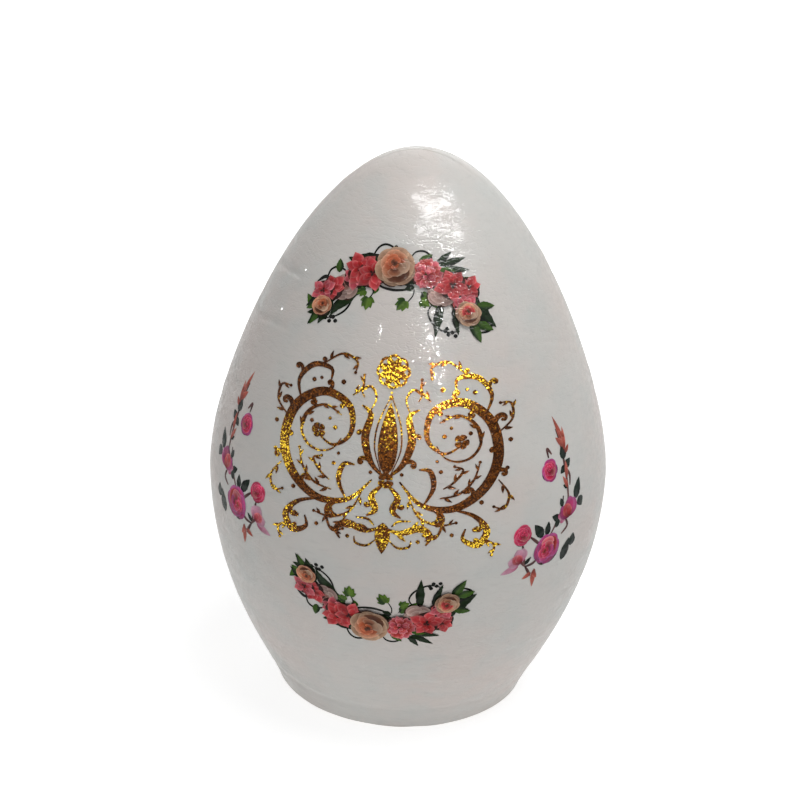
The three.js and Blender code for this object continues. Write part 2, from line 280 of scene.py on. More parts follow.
def azimuth_of(points: Array) -> Array:
    """The azimuth of each point, in degrees."""
    return np.degrees(np.arctan2(points[:, 0], -points[:, 1]))


@dataclass(frozen=True)
class Pleat:
    """A fold of the tissue from one (azimuth, height in mm) to another.

    It rises steeply on its lower side and fades on its upper side, or the other way round.
    """

    start: Point
    end: Point
    rise: float
    width: float
    steep: float = 0.35


@dataclass(frozen=True)
class Calm:
    """A rounded field under a transfer, whose film irons the tissue's wrinkles flat.

    Its height and half sizes are in millimetres.
    """

    azimuth: float
    height: float
    half_width: float
    half_height: float

    def share(self, azimuth: Array, height: Array, radius: Array) -> Array:
        """How calm each point is, from 1 in the field to 0 outside it."""
        aside = np.radians((azimuth - self.azimuth + 180) % 360 - 180) * radius / self.half_width
        above = (height - self.height) / self.half_height
        return np.clip((1.7 - aside**4 - above**4) / 0.7, 0, 1)


@dataclass
class TissueRelief:
    """How far the pasted tissue stands off the ideal egg. Rises are in millimetres, cells in metres.

    It adds up the casting's unevenness, wrinkles, pleats and a dip over the joint with the foot.
    """

    form: EggForm
    uneven_rise: float = 0.075
    uneven_cell: Way = (0.021, 0.021, 0.026)
    wrinkle_rise: float = 0.02
    wrinkle_cell: Way = (0.0062, 0.0062, 0.0026)
    crease_rise: float = 0.007
    crease_cell: Way = (0.0046, 0.0046, 0.0014)
    crease_shift: float = 0.05
    fine_pleats: int = 230
    fine_heights: Point = (9, 132)
    fine_lengths: Point = (7, 30)
    fine_climb: float = 1.4
    fine_rises: Point = (0.025, 0.08)
    fine_widths: Point = (0.5, 1.1)
    bow: float = 0.04
    taper: float = 0.6
    joint_height: float = 7.3
    joint_wander: float = 0.5
    joint_width: float = 1.1
    joint_dip: float = 0.16
    joint_azimuth: float = -80.0
    crown_calm: float = 4.0
    pleats: list[Pleat] = field(default_factory=list)
    calm: tuple[Calm, ...] = (
        Calm(0, 117, 26, 11),
        Calm(0, 44, 26, 13),
        Calm(50, 66, 16, 22),
        Calm(-50, 71, 16, 22),
        Calm(0, 83, 31, 25),
    )

    def __post_init__(self) -> None:
        """Lays out the pleats that the photograph shows, and the fine ones all round."""
        self.hand = Grain(11)
        self.crinkle = Grain(12)
        self.pleats = [
            Pleat((-86, 111.4), (-45, 114.2), -0.52, 0.7),
            Pleat((-70, 100.8), (-44, 103.3), -0.4, 0.65),
            Pleat((-80, 106.0), (-66, 101.0), 0.14, 0.9),
            Pleat((54, 103.2), (87, 95.6), -0.22, 0.6),
            Pleat((57, 104.4), (70, 102.4), -0.15, 0.5),
            Pleat((66, 98.9), (87, 93.4), -0.15, 0.5),
            Pleat((54, 98.8), (69, 95.6), -0.14, 0.5),
            Pleat((41, 98.5), (60, 94.9), -0.13, 0.6),
            Pleat((45, 96.1), (57, 94.0), -0.13, 0.5),
            Pleat((40, 107.4), (58, 104.6), -0.12, 0.5),
            Pleat((47, 90.6), (66, 88.4), -0.12, 0.6),
            Pleat((20, 62.4), (34, 61.6), 0.07, 0.7),
            Pleat((-38, 38.0), (-16, 36.2), 0.07, 0.8),
            Pleat((-58, 9.6), (-22, 7.6), 0.12, 1.2),
            Pleat((128, 84.0), (160, 87.5), 0.16, 1.0),
            Pleat((188, 66.0), (214, 61.0), 0.14, 0.9),
            Pleat((148, 112.0), (186, 108.0), 0.18, 1.0),
        ]
        rng = np.random.default_rng(5)
        for _ in range(self.fine_pleats):
            azimuth, height = rng.uniform(-180, 180), rng.uniform(*self.fine_heights)
            length = rng.uniform(*self.fine_lengths)
            end = (azimuth + length, height + rng.normal(0, self.fine_climb))
            rise = rng.uniform(*self.fine_rises) * rng.choice([-1, 1])
            self.pleats.append(Pleat((azimuth, height), end, rise, rng.uniform(*self.fine_widths)))

    def broad(self, points: Array) -> Array:
        """The slow unevenness of the hand-cast egg at each point, in metres."""
        return self.uneven_rise * MM * self.hand.at(points, self.uneven_cell)

    def at(self, points: Array) -> Array:
        """The whole rise at each point of the egg, in metres."""
        height = points[:, 2] / MM
        azimuth = azimuth_of(points)
        reach = np.hypot(points[:, 0], points[:, 1]) / MM
        rise = self.wrinkle_rise * self.crinkle.at(points, self.wrinkle_cell)
        rise += self.crease_rise * self.crinkle.at(points + self.crease_shift, self.crease_cell)
        for pleat in self.pleats:
            rise += self.fold(pleat, azimuth, height)
        for calm in self.calm:
            rise *= 1 - calm.share(azimuth, height, reach)
        near = 0.5 + 0.5 * np.cos(np.radians(azimuth - self.joint_azimuth))
        wander = self.joint_wander * np.sin(np.radians(2 * azimuth + 40))
        dip = np.exp(-(((height - self.joint_height - wander) / self.joint_width) ** 2))
        rise -= self.joint_dip * dip * (0.4 + 0.9 * near)
        return self.broad(points) + rise * MM * np.clip(reach / self.crown_calm, 0, 1)

    def fold(self, pleat: Pleat, azimuth: Array, height: Array) -> Array:
        """What one pleat adds at each azimuth and height, in millimetres."""
        middle = (pleat.start[1] + pleat.end[1]) / 2
        degree = float(self.form.radius(np.array([middle * MM]))[0]) / MM * math.pi / 180
        round_by = (azimuth - pleat.start[0] + 180) % 360 - 180
        length = (pleat.end[0] - pleat.start[0]) * degree
        climb = (pleat.end[1] - pleat.start[1]) / length
        along = round_by * degree / length
        bow = self.bow * length * np.sin(np.pi * np.clip(along, 0, 1))
        off = height - pleat.start[1] - climb * along * length - bow
        wide = np.where(off < 0, pleat.width * pleat.steep, pleat.width * (2 - pleat.steep))
        taper = np.sin(np.pi * np.clip(along, 0, 1)) ** self.taper
        return pleat.rise * taper * np.exp(-((off / wide) ** 2))


# Materials


@dataclass(frozen=True)
class Crinkle:
    """Relief that wet paste leaves in tissue: numbers of lumps in a metre, and rises in metres."""

    swells: float = 230
    swell_rise: float = 0.00003
    ridges: float = 300
    ridge_width: float = 0.05
    ridge_rise: float = 0.00003
    facets: float = 420
    seam_width: float = 0.08
    seam_rise: float = 0.000016
    tooth: float = 1900
    tooth_rise: float = 0.000002


@dataclass(frozen=True)
class Varnish:
    """A clear coat brushed on in streaks. Where it lies thin, it has only a share of its weight."""

    weight: float = 0.36
    roughness: float = 0.03
    ior: float = 1.4
    thin_share: float = 0.1
    streaks: float = 300
    streak_window: tuple[float, float] = (0.4, 0.6)
    gloss_below: float = 0.03
    print_through: float = 0.8


class Recipe:
    """A material and short ways to build its nodes."""

    def __init__(self, name: str) -> None:
        """Starts a material with one shader.

        Args:
            name: The material's name.
        """
        self.material = bpy.data.materials.new(name)
        self.material.use_nodes = True
        self.tree = self.material.node_tree
        self.shader = self.tree.nodes["Principled BSDF"]
        self.object_place = self.add("ShaderNodeTexCoord").outputs["Object"]

    def add(self, kind: str, **settings: object) -> bpy.types.Node:
        """Adds a node and sets its properties."""
        node = self.tree.nodes.new(kind)
        for key, value in settings.items():
            setattr(node, key, value)
        return node

    def link(self, start: Socket, end: Socket) -> None:
        """Joins two sockets."""
        self.tree.links.new(start, end)

    def fill(self, place: Socket, value: Tone | float) -> None:
        """Links an input to a socket, or sets it to a linear colour or a number."""
        if isinstance(value, Socket):
            self.link(value, place)
        else:
            place.default_value = (*value, 1) if isinstance(value, tuple) else value

    def feed(self, name: str, value: Tone | float) -> None:
        """Fills one of the shader's inputs."""
        self.fill(self.shader.inputs[name], value)

    def stretched(self, across: float, up: float, deep: float = 1.0) -> Socket:
        """Object coordinates scaled across the egg, from front to back and up it."""
        mapping = self.add("ShaderNodeMapping")
        mapping.inputs["Scale"].default_value = (across, across * deep, up)
        self.link(self.object_place, mapping.inputs["Vector"])
        return mapping.outputs["Vector"]

    def noise(self, scale: float, detail: float = 2.0, place: Socket | None = None) -> Socket:
        """Cloudy noise from 0 to 1, with this many lumps in a metre."""
        node = self.add("ShaderNodeTexNoise")
        node.inputs["Scale"].default_value = scale
        node.inputs["Detail"].default_value = detail
        self.link(place or self.object_place, node.inputs["Vector"])
        return node.outputs["Fac"]

    def cells(self, scale: float, feature: str, output: str, place: Socket | None = None) -> Socket:
        """A Voronoi pattern with this many cells in a metre."""
        node = self.add("ShaderNodeTexVoronoi", feature=feature)
        node.inputs["Scale"].default_value = scale
        self.link(place or self.object_place, node.inputs["Vector"])
        return node.outputs[output]

    def sums(self, kind: str, first: Socket, second: Socket | float = 0.0) -> Socket:
        """A sum, product or other maths of a socket and another socket or number."""
        node = self.add("ShaderNodeMath", operation=kind)
        for socket, value in zip(node.inputs, (first, second)):
            self.fill(socket, value)
        return node.outputs[0]

    def ramp(self, source: Socket, stops: Sequence[tuple[float, Colour]]) -> Socket:
        """Turns a value into colours through stops of (place, colour)."""
        node = self.add("ShaderNodeValToRGB")
        elements = node.color_ramp.elements
        while len(elements) < len(stops):
            elements.new(0.5)
        for element, (place, colour) in zip(elements, stops):
            element.position = place
            element.color = (*colour, 1)
        self.link(source, node.inputs["Fac"])
        return node.outputs["Color"]

    def window(self, source: Socket, low: float, high: float, to_low: float, to_high: float) -> Socket:
        """Stretches a value's window from low to high onto another one, and clamps it."""
        node = self.add("ShaderNodeMapRange")
        for name, value in zip(("From Min", "From Max", "To Min", "To Max"), (low, high, to_low, to_high)):
            node.inputs[name].default_value = value
        self.link(source, node.inputs["Value"])
        return node.outputs["Result"]

    def rough(self, scale: float, detail: float, low: float, high: float) -> None:
        """Lets the roughness wander from a low to a high value."""
        wander = self.window(self.noise(scale, detail), 0.3, 0.7, low, high)
        self.feed("Roughness", wander)

    def darken(self, tone: Socket, share: Socket, dark: Colour) -> Socket:
        """Multiplies a colour by a darkness where the share is 0, and leaves it where it is 1."""
        return self.blend("MULTIPLY", 1.0, tone, self.ramp(share, [(0, dark), (1, WHITE)]))

    def blend(self, kind: str, share: Socket | float, first: Tone, second: Tone) -> Socket:
        """Mixes two colours, each a socket or a linear colour."""
        node = self.add("ShaderNodeMix", data_type="RGBA", blend_type=kind)
        colours = [socket for socket in node.inputs if socket.type == "RGBA"]
        for socket, value in zip((node.inputs[0], *colours), (share, first, second)):
            self.fill(socket, value)
        return next(socket for socket in node.outputs if socket.type == "RGBA")

    def bump(self, height: Socket, depth: float, under: Socket | None = None) -> Socket:
        """A bumped normal from a height of 0 to 1 and its depth in metres."""
        node = self.add("ShaderNodeBump")
        node.inputs["Strength"].default_value = 1.0
        node.inputs["Distance"].default_value = depth
        self.link(height, node.inputs["Height"])
        if under is not None:
            self.link(under, node.inputs["Normal"])
        return node.outputs["Normal"]

    def crinkle(self, depth: float = 1.0) -> Socket:
        """The relief of tissue wrinkled by wet paste: swells, long creases, facets and a fine tooth.

        Args:
            depth: Strength of the relief, 1 for the varnish's own surface.

        Returns:
            The bumped normal.
        """
        size = Crinkle()
        swells = self.noise(size.swells, 2.0, self.stretched(1.0, 2.0))
        waves = self.sums("SUBTRACT", self.noise(size.ridges, 2.0, self.stretched(1.0, 2.6)), 0.5)
        creases = self.window(self.sums("ABSOLUTE", waves), 0.0, size.ridge_width, 0.0, 1.0)
        facets = self.cells(size.facets, "DISTANCE_TO_EDGE", "Distance", self.stretched(1.0, 1.8))
        seams = self.window(facets, 0.0, size.seam_width, 0.0, 1.0)
        tooth = self.noise(size.tooth, 2.0)
        surface = self.bump(swells, size.swell_rise * depth)
        for height, rise in ((creases, size.ridge_rise), (seams, size.seam_rise), (tooth, size.tooth_rise)):
            surface = self.bump(height, rise * depth, surface)
        return surface

    def varnish(self, coat: Varnish, under: Socket | None = None) -> None:
        """Lays the crinkled clear coat over the shader.

        Args:
            coat: The varnish.
            under: The normal of what lies below, by default a faint copy of the coat's own.
        """
        streaks = self.noise(coat.streaks, 5.0, self.stretched(1.0, 3.0, 2.4))
        brushed = self.window(streaks, *coat.streak_window, coat.thin_share * coat.weight, coat.weight)
        self.feed("Coat Weight", brushed)
        self.feed("Coat Roughness", coat.roughness)
        self.feed("Coat IOR", coat.ior)
        self.feed("Specular IOR Level", coat.gloss_below)
        self.feed("Normal", under or self.crinkle(coat.print_through))
        self.feed("Coat Normal", self.crinkle())


@dataclass(frozen=True)
class TissueFinish:
    """White tissue under satin varnish."""

    white: Colour = screen(206, 204, 200)
    warm: Colour = screen(208, 200, 195)
    cool: Colour = screen(198, 200, 197)
    patches: float = 34
    clouds: float = 75
    creases: float = 260
    crease_shade: float = 0.955

    def make(self) -> Material:
        """Builds the material."""
        recipe = Recipe("varnished_tissue")
        patches = recipe.window(recipe.noise(self.patches), 0.4, 0.64, 0, 1)
        tone = recipe.blend("MIX", patches, self.white, self.warm)
        clouds = recipe.noise(self.clouds, 3.0, recipe.stretched(1.0, 1.6))
        tone = recipe.blend("MIX", recipe.window(clouds, 0.45, 0.75, 0, 0.8), tone, self.cool)
        folds = recipe.noise(self.creases, 4.0, recipe.stretched(1.0, 4.0))
        tone = recipe.darken(tone, recipe.window(folds, 0.3, 0.44, self.crease_shade, 1), BLACK)
        recipe.feed("Base Color", tone)
        recipe.rough(160, 3.0, 0.42, 0.6)
        recipe.varnish(Varnish())
        return recipe.material


@dataclass(frozen=True)
class PrintFinish:
    """Printed colours on tissue, read from the piece's own ink, under the same varnish."""

    name: str
    bleed: Colour = screen(205, 201, 190)
    shaded: Colour = (0.7, 0.67, 0.67)
    grainy: Colour = (0.9, 0.9, 0.9)
    washes: float = 560
    grains: float = 2600
    worn_spots: float = 900

    def make(self) -> Material:
        """Builds the material."""
        recipe = Recipe(self.name)
        ink = recipe.add("ShaderNodeAttribute", attribute_name=INK).outputs["Color"]
        wash = recipe.window(recipe.noise(self.washes, 4.0), 0.32, 0.66, 0.0, 1.0)
        tone = recipe.darken(ink, wash, self.shaded)
        grain = recipe.window(recipe.noise(self.grains, 1.0), 0.3, 0.7, 0.0, 1.0)
        tone = recipe.darken(tone, grain, self.grainy)
        worn = recipe.window(recipe.noise(self.worn_spots, 3.0), 0.6, 0.85, 0, 0.08)
        recipe.feed("Base Color", recipe.blend("MIX", worn, tone, self.bleed))
        recipe.rough(300, 2.0, 0.4, 0.55)
        recipe.varnish(Varnish())
        return recipe.material


@dataclass(frozen=True)
class FoilFinish:
    """Glittering gold foil whose grains lie at all angles, with painted light in its colour: painted glints
    and dark reflections per grain, from dark bronze to bright yellow.
    """

    # From umber, a painted dark reflection, through bronze to gold, a painted glint.
    umber: Colour = screen(42, 21, 8)
    bronze: Colour = screen(92, 52, 17)
    gold: Colour = screen(234, 196, 58)
    grains: float = 3300
    grain_tilt: float = 0.00016
    painted_gleam_patches: float = 46
    coat: Varnish = Varnish(0.2, 0.06)

    def make(self) -> Material:
        """Builds the material."""
        recipe = Recipe("glitter_foil")
        split = recipe.add("ShaderNodeSeparateColor")
        recipe.link(recipe.cells(self.grains, "F1", "Color"), split.inputs[0])
        shine, roughness, tilt = split.outputs
        # Broad patches of painted gleam and painted dark reflection, added to each grain's value.
        painted_gleam_patches = recipe.window(recipe.noise(self.painted_gleam_patches), 0.36, 0.64, -0.5, 0.14)
        # Per grain, umber is a painted dark reflection and gold a painted glint; bronze lies between.
        stops = [(0.0, self.umber), (0.42, self.bronze), (0.62, self.bronze), (0.86, self.gold)]
        tone = recipe.ramp(recipe.sums("ADD", shine, painted_gleam_patches), stops)
        recipe.feed("Base Color", tone)
        recipe.feed("Metallic", 1.0)
        recipe.feed("Roughness", recipe.window(roughness, 0, 1, 0.2, 0.42))
        recipe.varnish(self.coat, recipe.bump(tilt, self.grain_tilt, recipe.crinkle()))
        return recipe.material


@dataclass(frozen=True)
class ClayFinish:
    """Bare fired clay with faint speckles and throwing marks, seen under the foot."""

    clay: Colour = screen(214, 203, 188)
    dusty: Colour = screen(228, 219, 206)
    speck: Colour = screen(150, 128, 104)
    clouds: float = 90
    specks: float = 900
    groups: float = 400
    marks: float = 240
    mark_rise: float = 0.00012
    tooth: float = 1600
    tooth_rise: float = 0.00006

    def make(self) -> Material:
        """Builds the material."""
        recipe = Recipe("bare_clay")
        dust = recipe.window(recipe.noise(self.clouds, 4.0), 0.35, 0.65, 0, 1)
        tone = recipe.blend("MIX", dust, self.clay, self.dusty)
        dots = recipe.window(recipe.cells(self.specks, "F1", "Distance"), 0.12, 0.2, 1, 0)
        some = recipe.window(recipe.noise(self.groups, 0.0), 0.55, 0.6, 0, 0.7)
        tone = recipe.blend("MIX", recipe.sums("MULTIPLY", dots, some), tone, self.speck)
        recipe.feed("Base Color", tone)
        recipe.rough(500, 3.0, 0.72, 0.92)
        marked = recipe.bump(recipe.noise(self.marks), self.mark_rise)
        rough = recipe.bump(recipe.noise(self.tooth, 4.0), self.tooth_rise, marked)
        recipe.feed("Normal", rough)
        return recipe.material


@dataclass(frozen=True)
class GlueFinish:
    """Dried amber adhesive with small bubbles."""

    amber: Colour = screen(206, 176, 96)
    thick: Colour = screen(170, 128, 58)
    runs: float = 140
    bubbles: float = 1100
    bubble_rise: float = 0.00012

    def make(self) -> Material:
        """Builds the material."""
        recipe = Recipe("dried_adhesive")
        runs = recipe.window(recipe.noise(self.runs, 3.0), 0.35, 0.65, 0, 1)
        recipe.feed("Base Color", recipe.blend("MIX", runs, self.amber, self.thick))
        recipe.rough(700, 2.0, 0.3, 0.5)
        bubbles = recipe.cells(self.bubbles, "F1", "Distance")
        recipe.feed("Normal", recipe.bump(bubbles, self.bubble_rise))
        return recipe.material


def dress(piece: Piece, material: Material) -> None:
    """Puts one material on every face of a piece."""
    if piece.material_slots:
        for place in piece.material_slots:
            place.material = material
    else:
        piece.data.materials.append(material)


def seat(piece: Piece, node: str) -> None:
    """Rides a piece on the body and lets it stand for its CAD node, which it hides."""
    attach(piece, BODY)
    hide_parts(node)
    LOG.info("%s: %d faces, stands for %s", piece.name, len(piece.data.polygons), node)


# Castings


@dataclass
class Casting:
    """A clay body turned from its profile, with softened edges."""

    name: str
    node: str
    profile: list[Point]
    sides: int = 144
    edge_softness: float = 0.0005
    edge_angle: float = 35.0

    def build(self, material: Material) -> Piece:
        """Draws the profile, spins it round the axis and bevels its edges.

        Args:
            material: The clay.

        Returns:
            The casting.
        """
        deselect()
        count, start = len(self.profile), self.profile[0][0]
        bpy.ops.mesh.primitive_circle_add(vertices=count, radius=start, fill_type="NOTHING")
        piece = bpy.context.object
        piece.name = self.name
        for vertex, (radius, height) in zip(piece.data.vertices, self.profile):
            vertex.co = (radius, 0, height)
        spin_all(self.sides, 360)
        bpy.ops.mesh.normals_make_consistent(inside=False)
        leave_edit()
        bevel = piece.modifiers.new("soft edges", "BEVEL")
        bevel.width = self.edge_softness
        bevel.segments = 2
        bevel.limit_method = "ANGLE"
        bevel.angle_limit = math.radians(self.edge_angle)
        take(piece)
        bpy.ops.object.modifier_apply(modifier=bevel.name)
        smooth(piece, 40)
        dress(piece, material)
        seat(piece, self.node)
        return piece


@dataclass
class Castings:
    """The hollow egg and its foot ring."""

    form: EggForm
    clay_depth: float = 0.0006
    wall: float = 0.004
    joint: float = 0.0073
    spigot_foot: float = 0.0043
    recess_floor: float = 0.004
    spigot_radius: float = 0.026
    drain_radius: float = 0.006
    inner_floor: float = 0.0118
    foot_height: float = 0.007
    foot_edge: float = 0.0008
    bore_radius: float = 0.019
    groove: Way = (0.021, 0.024, 0.0026)
    end_gap: float = 0.0003
    recess_play: float = 0.0003
    crown_gap: float = 0.0001
    on_axis: float = 0.00001
    stride: int = 26

    def between(self, depth: float, low: float, high: float) -> list[Point]:
        """Points of the outline at a depth, above one height and below another, with its ends on them."""
        table = self.form.table(depth)
        heights = table[:, 1]
        inside = table[(heights > low + self.end_gap) & (heights < high - self.end_gap)][:: self.stride]
        ends = [(float(self.form.radius(np.array([end]), depth)[0]), end) for end in (low, high)]
        return [ends[0], *[(float(r), float(z)) for r, z in inside], ends[1]]

    def build(self, material: Material) -> None:
        """Turns both castings.

        Args:
            material: The clay.
        """
        top = self.form.height - self.clay_depth
        inner_top, inner_depth = top - self.wall, self.clay_depth + self.wall
        outside = self.between(self.clay_depth, self.joint, top - self.crown_gap)[:-1]
        inside = self.between(inner_depth, self.inner_floor, inner_top - self.crown_gap)[:-1]
        egg = [
            *outside,
            (self.on_axis, top),
            (self.on_axis, inner_top),
            *reversed(inside),
            (self.drain_radius, self.inner_floor),
            (self.drain_radius, self.spigot_foot),
            (self.spigot_radius, self.spigot_foot),
            (self.spigot_radius, self.joint),
        ]
        Casting("hollow_egg", "egg_shell", egg).build(material)
        groove_in, groove_out, groove_floor = self.groove
        recess = self.spigot_radius + self.recess_play
        side = self.between(self.clay_depth, self.foot_edge, self.foot_height)
        foot = [
            (self.bore_radius, 0.0),
            (float(self.form.radius(np.array([0.0]), self.clay_depth)[0]) - self.foot_edge, 0.0),
            *side,
            (recess, self.foot_height),
            (recess, self.recess_floor),
            (groove_out, self.recess_floor),
            (groove_out, groove_floor),
            (groove_in, groove_floor),
            (groove_in, self.recess_floor),
            (self.bore_radius, self.recess_floor),
        ]
        Casting("foot_casting", "foot_ring", foot).build(material)


# Tissue


class Side(Enum):
    """The half that a tissue sheet covers: its middle azimuth, half width and lift over the other."""

    FRONT = (0.0, 95.0, 0.00012)
    BACK = (180.0, 95.0, 0.0)


@dataclass
class TissueSheet:
    """One pasted sheet of tissue. The front sheet laps over the back one at the flanks."""

    form: EggForm
    relief: TissueRelief
    side: Side
    node: str
    hem: float = 0.0008
    thickness: float = 0.0001
    rows: int = 200
    degrees_per_step: float = 2.0
    torn_band: float = 7.0
    torn_by: float = 1.1
    torn_cell: Way = (0.004, 0.004, 0.0031)
    frayed_by: float = 0.35
    frayed_cell: Way = (0.001, 0.001, 0.0009)
    hem_band: float = 0.002
    hem_wave: float = 0.00012
    lap_start: float = 80.0
    lap_band: float = 6.0

    def profile(self, azimuth: float) -> Piece:
        """Draws the outline as a curve at an azimuth and makes it a row of edges."""
        deselect()
        bpy.ops.curve.primitive_bezier_curve_add()
        curve = bpy.context.object
        bpy.ops.object.mode_set(mode="EDIT")
        bpy.ops.curve.select_all(action="SELECT")
        bpy.ops.curve.subdivide(number_cuts=1)
        leave_edit()
        foot, crown = self.form.curves()
        turn = math.radians(azimuth)

        def place(point: Point) -> Vector:
            """A profile point turned to the azimuth."""
            return Vector((point[0] * math.sin(turn), -point[0] * math.cos(turn), point[1]))

        knots = [(foot[0], foot[0], foot[1]), (foot[2], foot[3], crown[1]), (crown[2], crown[3], crown[3])]
        for knot, (before, at, after) in zip(curve.data.splines[0].bezier_points, knots):
            knot.handle_left_type = knot.handle_right_type = "FREE"
            knot.co, knot.handle_left, knot.handle_right = place(at), place(before), place(after)
        curve.data.dimensions = "3D"
        curve.data.resolution_u = self.rows
        bpy.ops.object.convert(target="MESH")
        return bpy.context.object

    def build(self, material: Material) -> Piece:
        """Spins the outline into the sheet, then pastes it on.

        Args:
            material: The varnished tissue.

        Returns:
            The sheet.
        """
        middle, half, lift = self.side.value
        piece = self.profile(middle + half)
        piece.name = self.side.name.lower() + "_sheet"
        spin_all(round(2 * half / self.degrees_per_step), 2 * half)
        bpy.ops.mesh.bisect(plane_co=(0, 0, self.hem), plane_no=(0, 0, 1), clear_inner=True)
        leave_edit()
        face_out(piece, way_at(middle))
        self.paste(piece.data, middle, half, lift)
        thicken(piece, self.thickness)
        smooth(piece, 50)
        dress(piece, material)
        seat(piece, self.node)
        return piece

    def paste(self, mesh: Mesh, middle: float, half: float, lift: float) -> None:
        """Tears the sheet's edges, then raises it by the relief and over the lap."""
        points = points_of(mesh)
        tear = Grain(21).at(points, self.torn_cell)
        fray = Grain(22).at(points, self.frayed_cell)
        off = (azimuth_of(points) - middle + 180) % 360 - 180
        near_edge = np.clip((np.abs(off) - (half - self.torn_band)) / self.torn_band, 0, 1) ** 2
        shift = np.radians(np.sign(off) * near_edge * (self.torn_by * tear + self.frayed_by * fray))
        x, y = points[:, 0].copy(), points[:, 1].copy()
        points[:, 0] = x * np.cos(shift) - y * np.sin(shift)
        points[:, 1] = x * np.sin(shift) + y * np.cos(shift)
        at_hem = np.clip(1 - (points[:, 2] - self.hem) / self.hem_band, 0, 1)
        points[:, 2] += at_hem * self.hem_wave * (1 + tear)
        lapped = np.clip((np.abs(off) - self.lap_start) / self.lap_band, 0, 1)
        rise = self.relief.at(points) + lift * lapped * lapped * (3 - 2 * lapped)
        set_points(mesh, points + self.form.outward(points) * rise[:, None])


# Printed and foil shapes


@dataclass(frozen=True)
class Ink:
    """Colours of a printed shape from its root to its rim, with a paler or darker flank."""

    root: Colour
    face: Colour
    rim: Colour
    flank: float = 0.12
    uneven: float = 0.06
    root_end: float = 0.55
    rim_start: float = 0.68
    rim_band: float = 0.32
    side_start: float = 0.7
    side_band: float = 0.3
    side_share: float = 0.7

    def paint(self, across: Array, along: Array, rng: np.random.Generator) -> Array:
        """Colours each point of a shape.

        Args:
            across: From -1 to 1 over the shape's width.
            along: From 0 at its root to 1 at its rim.
            rng: Gives each shape its own small difference.

        Returns:
            Rows of red, green, blue and alpha.
        """
        root, face, rim = (np.array(tone) for tone in (self.root, self.face, self.rim))
        low = np.clip(along / self.root_end, 0, 1)[:, None]
        aside = np.clip((np.abs(across) - self.side_start) / self.side_band, 0, 1)
        sides = self.side_share * aside * np.clip(2 * along, 0, 1)
        high = np.maximum(np.clip((along - self.rim_start) / self.rim_band, 0, 1) ** 1.5, sides)[:, None]
        tone = root + (face - root) * low
        tone = tone + (rim - tone) * high
        tone = tone * (1 - self.flank * (across[:, None] + 0.5 * rng.normal()))
        tone = tone * (1 + self.uneven * rng.normal())
        return np.column_stack([np.clip(tone, 0, 1), np.ones(len(across))])


@dataclass(frozen=True)
class LeafInk:
    """Colours of a leaf: two unlike halves and a pale midrib."""

    dark: Colour
    light: Colour
    rib: Colour
    rib_width: float = 0.3
    rib_share: float = 0.4
    uneven: float = 0.2

    def paint(self, across: Array, along: Array, rng: np.random.Generator) -> Array:
        """Colours each point of a leaf, as Ink.paint does."""
        dark, light, rib = (np.array(tone) for tone in (self.dark, self.light, self.rib))
        slant = 0.45 + 0.5 * across + 0.3 * (along - 0.5)
        share = np.clip(slant + rng.normal(0, self.uneven), 0, 1)[:, None]
        tone = dark + (light - dark) * share
        on_rib = np.clip(1 - np.abs(across) / self.rib_width, 0, 1)[:, None] * self.rib_share
        tone = tone + (rib - tone) * on_rib
        return np.column_stack([np.clip(tone, 0, 1), np.ones(len(across))])


class Shape(Enum):
    """A kind of flat shape: its squares across and along."""

    PETAL = (8, 6)
    LEAF = (4, 10)
    SHORT_STROKE = (2, 16)
    LONG_STROKE = (2, 72)
    DOT = (3, 4)


class Stamp:
    """A flat shape modelled once on a grid, and copied for each petal, leaf or stroke."""

    def __init__(self, shape: Shape) -> None:
        """Adds the grid, and notes how far across and along it each point lies.

        Args:
            shape: The kind of shape.
        """
        deselect()
        columns, rows = shape.value
        bpy.ops.mesh.primitive_grid_add(x_subdivisions=columns, y_subdivisions=rows, size=2)
        self.piece = bpy.context.object
        self.piece.name = shape.name.lower()
        points = points_of(self.piece.data)
        self.across = points[:, 0].copy()
        self.along = (points[:, 1] + 1) / 2

    def copy(self) -> Piece:
        """A copy of the shape with its own mesh."""
        twin = self.piece.copy()
        twin.data = self.piece.data.copy()
        bpy.context.collection.objects.link(twin)
        return twin

    def remove(self) -> None:
        """Takes the pattern away once its copies are made."""
        bpy.data.objects.remove(self.piece)


def spline(points: Sequence[Point], shares: Array) -> tuple[Array, Array]:
    """A smooth line through points.

    Args:
        points: The points.
        shares: Places along the line, from 0 to 1.

    Returns:
        The places as rows of u and v, and the unit directions there.
    """
    knots = np.array(points, float)
    last = len(knots) - 1
    place = np.clip(shares, 0, 1) * last
    index = np.minimum(np.floor(place).astype(int), last - 1)
    t = (place - index)[:, None]
    p1, p2 = knots[index], knots[index + 1]
    p0 = np.where((index > 0)[:, None], knots[np.maximum(index - 1, 0)], p1)
    p3 = knots[np.minimum(index + 2, last)]
    v0, v1 = (p2 - p0) / 2, (p3 - p1) / 2
    cubic = 2 * p1 - 2 * p2 + v0 + v1
    square = 3 * p2 - 3 * p1 - 2 * v0 - v1
    at = cubic * t**3 + square * t**2 + v0 * t + p1
    along = 3 * cubic * t**2 + 2 * square * t + v0
    return at, along / (np.linalg.norm(along, axis=1)[:, None] + 1e-12)


def arc(
    centre: Point,
    radius: float,
    start: float,
    end: float,
    count: int = 7,
    growth: float = 1.0,
) -> list[Point]:
    """Lays out points of an arc or spiral.

    Args:
        centre: Its centre.
        radius: Its radius where it starts.
        start: Its first angle, in degrees.
        end: Its last angle, in degrees.
        count: Number of points.
        growth: Its last radius as a share of its first one.

    Returns:
        The points.
    """
    points = []
    for i in range(count):
        angle = math.radians(start + (end - start) * i / (count - 1))
        reach = radius * growth ** (i / (count - 1))
        points.append((centre[0] + reach * math.cos(angle), centre[1] + reach * math.sin(angle)))
    return points


